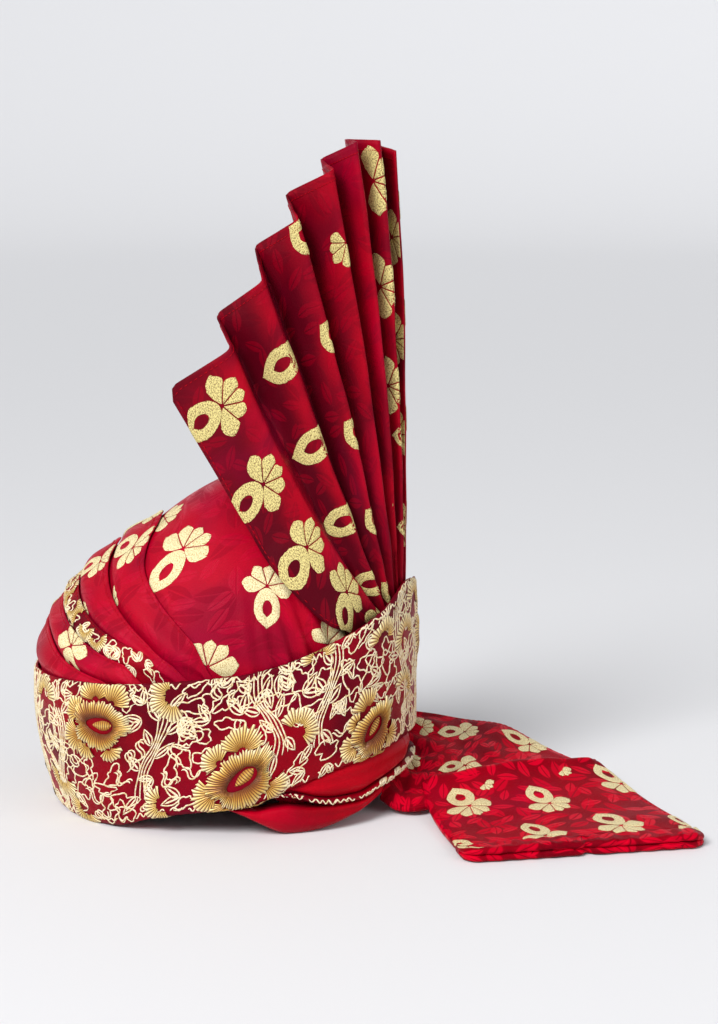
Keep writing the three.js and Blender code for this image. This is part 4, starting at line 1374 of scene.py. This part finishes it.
def satin_fan(out, cloth, where, start, heading, reach, opening, rng, shades, inner, height):
    """Scallop of long stitches that open out from a point, start mm away along the heading."""
    cx, cy = turned(start, 0, heading)
    count = 2 * max(6, int(reach * opening / 75)) + 1
    angle = np.linspace(-opening, opening, count)[:, None]
    share = np.array([0.0, 0.25, 0.55, 0.85, 1.0])[None, :]
    outline = reach * (0.86 + 0.14 * np.cos(np.radians(angle) * 1.3)) * jagged(rng, count, -0.15, 0.08)
    r = outline * (inner + (1 - inner) * share)
    x = cx + r * np.cos(np.radians(angle + heading))
    y = cy + r * np.sin(np.radians(angle + heading))
    lift = 0.15 + height * np.sin(math.pi * np.clip(share * 0.9 + 0.06, 0, 1))
    out.patch(cloth, where, x, y, lift, (np.arange(count)[:, None] / 2, mix(*shades, share)))


def tuft(out, cloth, where, heading, splay, start, reach, rng, shade, height):
    """Three scallops side by side."""
    for turn in (-splay, 0, splay):
        satin_fan(out, cloth, where, start, heading + turn, reach, 46, rng, (shade, 1.0), 0.25, height)


def bloom(out, cloth, where, spin, size, seed):
    """Open flower: ring of long stitches round a bare heart, a small leaf in it, and scallops."""
    rng = random.Random(seed)
    for angle in (60, 110, 160, 205, 250, 300):
        heading = angle + spin + rng.uniform(-8, 8)
        satin_fan(out, cloth, where, 0.50 * size, heading, size * rng.uniform(0.28, 0.50),
                  rng.uniform(55, 88), rng, (rng.uniform(0.3, 0.55), rng.uniform(0.85, 1.0)), 0.2, 1.1)
    stitches = int(size * 1.9)
    around = 2 * stitches + 1
    turn = np.linspace(0, 2 * math.pi, around)[:, None]
    share = np.array([0.0, 0.2, 0.45, 0.7, 0.9, 1.0])[None, :]
    jag = jagged(rng, around, -0.12, 0.08)
    jag[-1] = jag[0]
    inner_x, inner_y = 0.30 * np.cos(turn), 0.16 * np.sin(turn) * (1 + 0.25 * np.cos(turn))
    phase = rng.uniform(0, 6.28)
    jag = jag * (1 + 0.10 * np.sin(3 * turn + phase) + 0.07 * np.sin(5 * turn + 2 * phase))
    outer_x, outer_y = 0.63 * np.cos(turn) * jag, 0.50 * np.sin(turn) * jag
    x, y = turned(size * mix(inner_x, outer_x, share), size * mix(inner_y, outer_y, share), spin)
    lift = 0.5 + 2.0 * np.sin(math.pi * share ** 0.8) ** 0.8 + 0.25 * np.cos(turn * stitches)
    tone = mix(0.05, 0.95, share) + 0.10 * np.sin(2 * turn + phase)
    out.patch(cloth, where, x, y, lift, (np.arange(around)[:, None] / 2, np.clip(tone, 0.02, 1.0)))
    # Leaf in the heart, stitched across
    v = np.linspace(0, 1, 17)[:, None]
    side = np.linspace(-1, 1, 5)[None, :]
    half = 0.10 * size * np.sin(math.pi * v ** 0.8) ** 0.8
    x, y = turned(size * (0.27 - 0.42 * v), half * side, spin + 6)
    lift = 0.3 + 1.0 * (1 - side ** 2) * np.sin(math.pi * v) ** 0.5
    out.patch(cloth, where, x, y, lift, (v * 9, 0.62 - 0.28 * np.abs(side)))


# Chart of the band: angle, share of the height, spin or heading, size
BLOOMS = [(50, 0.72, -8, 33), (95, 0.22, 34, 37), (141, 0.20, 40, 31), (186, 0.62, 10, 32),
          (226, 0.30, 150, 31), (268, 0.66, 170, 33), (309, 0.24, 145, 32), (352, 0.66, 185, 31)]
TUFTS = [(74, 0.90, 200, 17), (113, 0.45, 40, 16), (160, 0.66, 100, 16), (169, 0.86, 80, 17),
         (158, 0.34, 60, 14), (30, 0.30, 250, 17), (24, 0.84, 90, 16), (10, 0.14, 200, 16),
         (70, 0.10, 200, 14), (122, 0.93, 90, 13), (205, 0.12, 100, 16), (247, 0.88, 80, 16),
         (288, 0.16, 60, 16), (331, 0.90, 100, 16), (333, 0.12, 240, 15), (205, 0.9, 60, 15),
         (40, 0.10, 230, 15), (146, 0.80, 80, 14)]
# Stems: angle, share of the height, length, bend, lean
STEMS = [
    (67, 0.50, 66, 5, -10), (104, 0.66, 58, -5, 8), (32, 0.45, 66, 6, 4), (124, 0.62, 60, 5, -12),
    (157, 0.55, 80, -5, 6), (176, 0.5, 80, 5, 0), (206, 0.5, 76, 6, 8), (246, 0.45, 66, -5, -6),
    (288, 0.55, 62, 5, 10), (330, 0.5, 62, -5, -8), (8, 0.5, 60, 5, 6),
]
ARC_A_DEGREE = 1.85
FILL_COLUMNS = 66
EDGE_LOOPS = 60


def band_place(angle, share):
    return share * (BAND_ROWS - 1), BAND_LAP + angle * BAND_COLUMNS / 360


def taken(angle, share, height):
    """True where a flower or a stem already covers the cloth."""
    def off(centre):
        return ((angle - centre + 180) % 360 - 180) * ARC_A_DEGREE

    for chart, part in ((BLOOMS, 0.72), (TUFTS, 0.55)):
        for centre, level, _, size in chart:
            if math.hypot(off(centre), (share - level) * height) < size * part:
                return True
    for centre, level, length, bend, lean in STEMS:
        rise = (share - level) * height
        line = bend * math.sin(rise / length * S_CURVE) - math.tan(math.radians(lean)) * rise
        if abs(off(centre) - line) < 6.5 and abs(rise) < length / 2:
            return True
    return False


def fill_band(threads, band, rng):
    """Thread leaves, lobes and curls wherever the chart leaves the cloth bare."""
    for i in range(FILL_COLUMNS):
        angle = (i + 0.5) * 360 / FILL_COLUMNS
        height = float(band_top(angle) - band_foot(angle))
        lines = max(5, int(round(height / 11.5)))
        for j in range(lines):
            spot = angle + rng.uniform(-2.2, 2.2)
            stagger = 0.5 * (i % 2) * (1 if j < lines - 1 else 0)
            share = (j + 0.5 + stagger) / lines + rng.uniform(-0.03, 0.03)
            kind, size, spin = rng.random(), rng.uniform(12, 18), rng.uniform(0, 360)
            if taken(spot, share, height):
                continue
            where = band_place(spot % 360, min(0.94, max(0.06, share)))
            if kind < 0.55:
                threads.ribbon(band, *where, moved(lobed_path(size, rng), spin), 1.0, 0.5)
            elif kind < 0.8:
                leaf_pair(threads, band, where, spin, 28, size * 0.8, size * 0.32)
            else:
                path = curl_path(size * 1.9, rng)
                threads.ribbon(band, *where, path, 1.0, 0.5)
                threads.ribbon(band, *where, path + [2.0, 1.2], 1.0, 0.5)


def edge_band(threads, band, rng):
    """Uneven looped edge at the top and the foot of the band."""
    for share in (0.965, 0.04):
        for i in range(EDGE_LOOPS):
            a = np.linspace(0, rng.uniform(6, 12), 16)
            swing = rng.uniform(0.7, 1.6) * np.sin(a * 2 * math.pi / rng.uniform(4, 7.5) + i)
            path = np.stack([a, swing + rng.uniform(-0.8, 0.8)], 1)
            threads.ribbon(band, *band_place(i * 360 / EDGE_LOOPS, share), path, 1.0, 0.5)


def embroider_band(band, rng):
    threads, satins = Stitches(), Stitches()
    for seed, (angle, share, spin, size) in enumerate(BLOOMS):
        bloom(satins, band, band_place(angle, share), spin, size, seed)
    for seed, (angle, share, heading, size) in enumerate(TUFTS):
        tuft(satins, band, band_place(angle, share), heading, 58, 3.0, size * 0.8,
             random.Random(900 + seed), 0.62, 1.0)
    for seed, (angle, share, length, bend, lean) in enumerate(STEMS):
        stem(threads, band, band_place(angle, share), length, bend, lean, random.Random(950 + seed))
    fill_band(threads, band, rng)
    edge_band(threads, band, rng)
    threads.build("band_threads", thread_mat, "embroidered_band")
    satins.build("band_flowers", satin_mat, "embroidered_band")


def embroider_trims(trim, stripes, rng):
    """The trim over the forehead, and the stripes between the rolls."""
    threads, satins = Stitches(), Stitches()
    for i in range(66):
        where = (17 + 6 * math.sin(i * 2.1), 4 + i * 2.95)
        front = abs(where[1] - 100) < 66
        kind = rng.random()
        if i % 3 == 1 and front:
            tuft(satins, trim, where, rng.uniform(0, 360), 60, 1.5, 7.5, rng, 0.55, 0.7)
        elif kind < 0.5:
            path = moved(lobed_path(9.5, rng), rng.uniform(0, 360))
            threads.ribbon(trim, *where, path, 0.9, 0.45)
        else:
            leaf_pair(threads, trim, where, rng.uniform(0, 360), 30, 8, 3.4)
    for cloth in stripes:
        columns = len(cloth.columns)
        i = 0
        while i < columns - 12:
            a = np.linspace(0, rng.uniform(6, 12), 14)
            swing = rng.uniform(0.8, 1.7) * np.sin(a * rng.uniform(0.9, 1.7) + i)
            threads.ribbon(cloth, 12, i, np.stack([a, swing], 1), 0.9, 0.5)
            i += rng.randint(4, 8)
        for i in range(int(columns * 0.55), columns - 6, 7):
            thread_leaf(threads, cloth, (12, i), 20 if i % 2 else -20, 0, 0, 8.5, 4.0, 1.4)
    threads.build("trim_threads", thread_mat, "embroidered_trim")
    satins.build("trim_flowers", satin_mat, "embroidered_trim")


# The pagri
crown = make_crown()
make_base()
band = make_band()
folds = make_folds()
stripes = make_rolls()
fan_front, fan_back = make_fan()
tail = make_tail()
fan_motifs(fan_front, fan_back)
cloth_motifs(crown, folds, tail)
seam_stitches(fan_front, fan_back, tail, folds)
embroidery_rng = random.Random(77)
embroider_band(band, embroidery_rng)
embroider_trims(folds["wrap_trim"], stripes, embroidery_rng)


# Stage, in metres
def make_floor():
    """Disc whose rim rises into a pale background."""
    turns, reach = 72, np.concatenate([[0.0], np.linspace(4.5, 8.0, 22)])
    rise = 2.2 * ramp(reach, 4.5, 8.6) ** 1.3
    spots = [(r * math.cos(2 * math.pi * k / turns), r * math.sin(2 * math.pi * k / turns), z)
             for r, z in zip(reach, rise) for k in range(turns)]
    mesh = bpy.data.meshes.new("floor")
    mesh.from_pydata(spots, [], [[i * turns + k, i * turns + (k + 1) % turns,
                                  (i + 1) * turns + (k + 1) % turns, (i + 1) * turns + k]
                                 for i in range(len(reach) - 1) for k in range(turns)])
    mesh.polygons.foreach_set("use_smooth", [True] * len(mesh.polygons))
    mesh.materials.append(Shader("pale_floor", 0.7, Base_Color=(0.74, 0.745, 0.765, 1)).material)
    floor = add_object("floor", mesh)
    floor.location = (0, 0, -0.0005)


def make_world():
    world = bpy.data.worlds.new("studio")
    world.use_nodes = True
    background = world.node_tree.nodes["Background"].inputs
    background["Color"].default_value = (0.88, 0.885, 0.9, 1)
    background["Strength"].default_value = 0.46
    bpy.context.scene.world = world
    bpy.context.scene.view_settings.view_transform = "Standard"


def make_sun():
    data = bpy.data.lights.new("sun", "SUN")
    data.energy = 2.2
    data.angle = 0.5
    add_object("sun", data).rotation_euler = (math.radians(38), math.radians(-30), 0)


def area_light(name, place, target, size, power, colour):
    data = bpy.data.lights.new(name, "AREA")
    data.shape = "DISK"
    data.size = size
    data.energy = power
    data.color = colour
    light = add_object(name, data)
    light.location = place
    light.rotation_euler = (Vector(target) - Vector(place)).to_track_quat("-Z", "Y").to_euler()


make_floor()
make_world()
make_sun()
area_light("key", (-0.9, -1.1, 1.3), (-0.05, 0, 0.15), 0.7, 12, (1.0, 0.98, 0.96))
area_light("fill", (1.3, -0.9, 0.8), (0, 0, 0.15), 1.0, 5, (1.0, 0.97, 0.95))
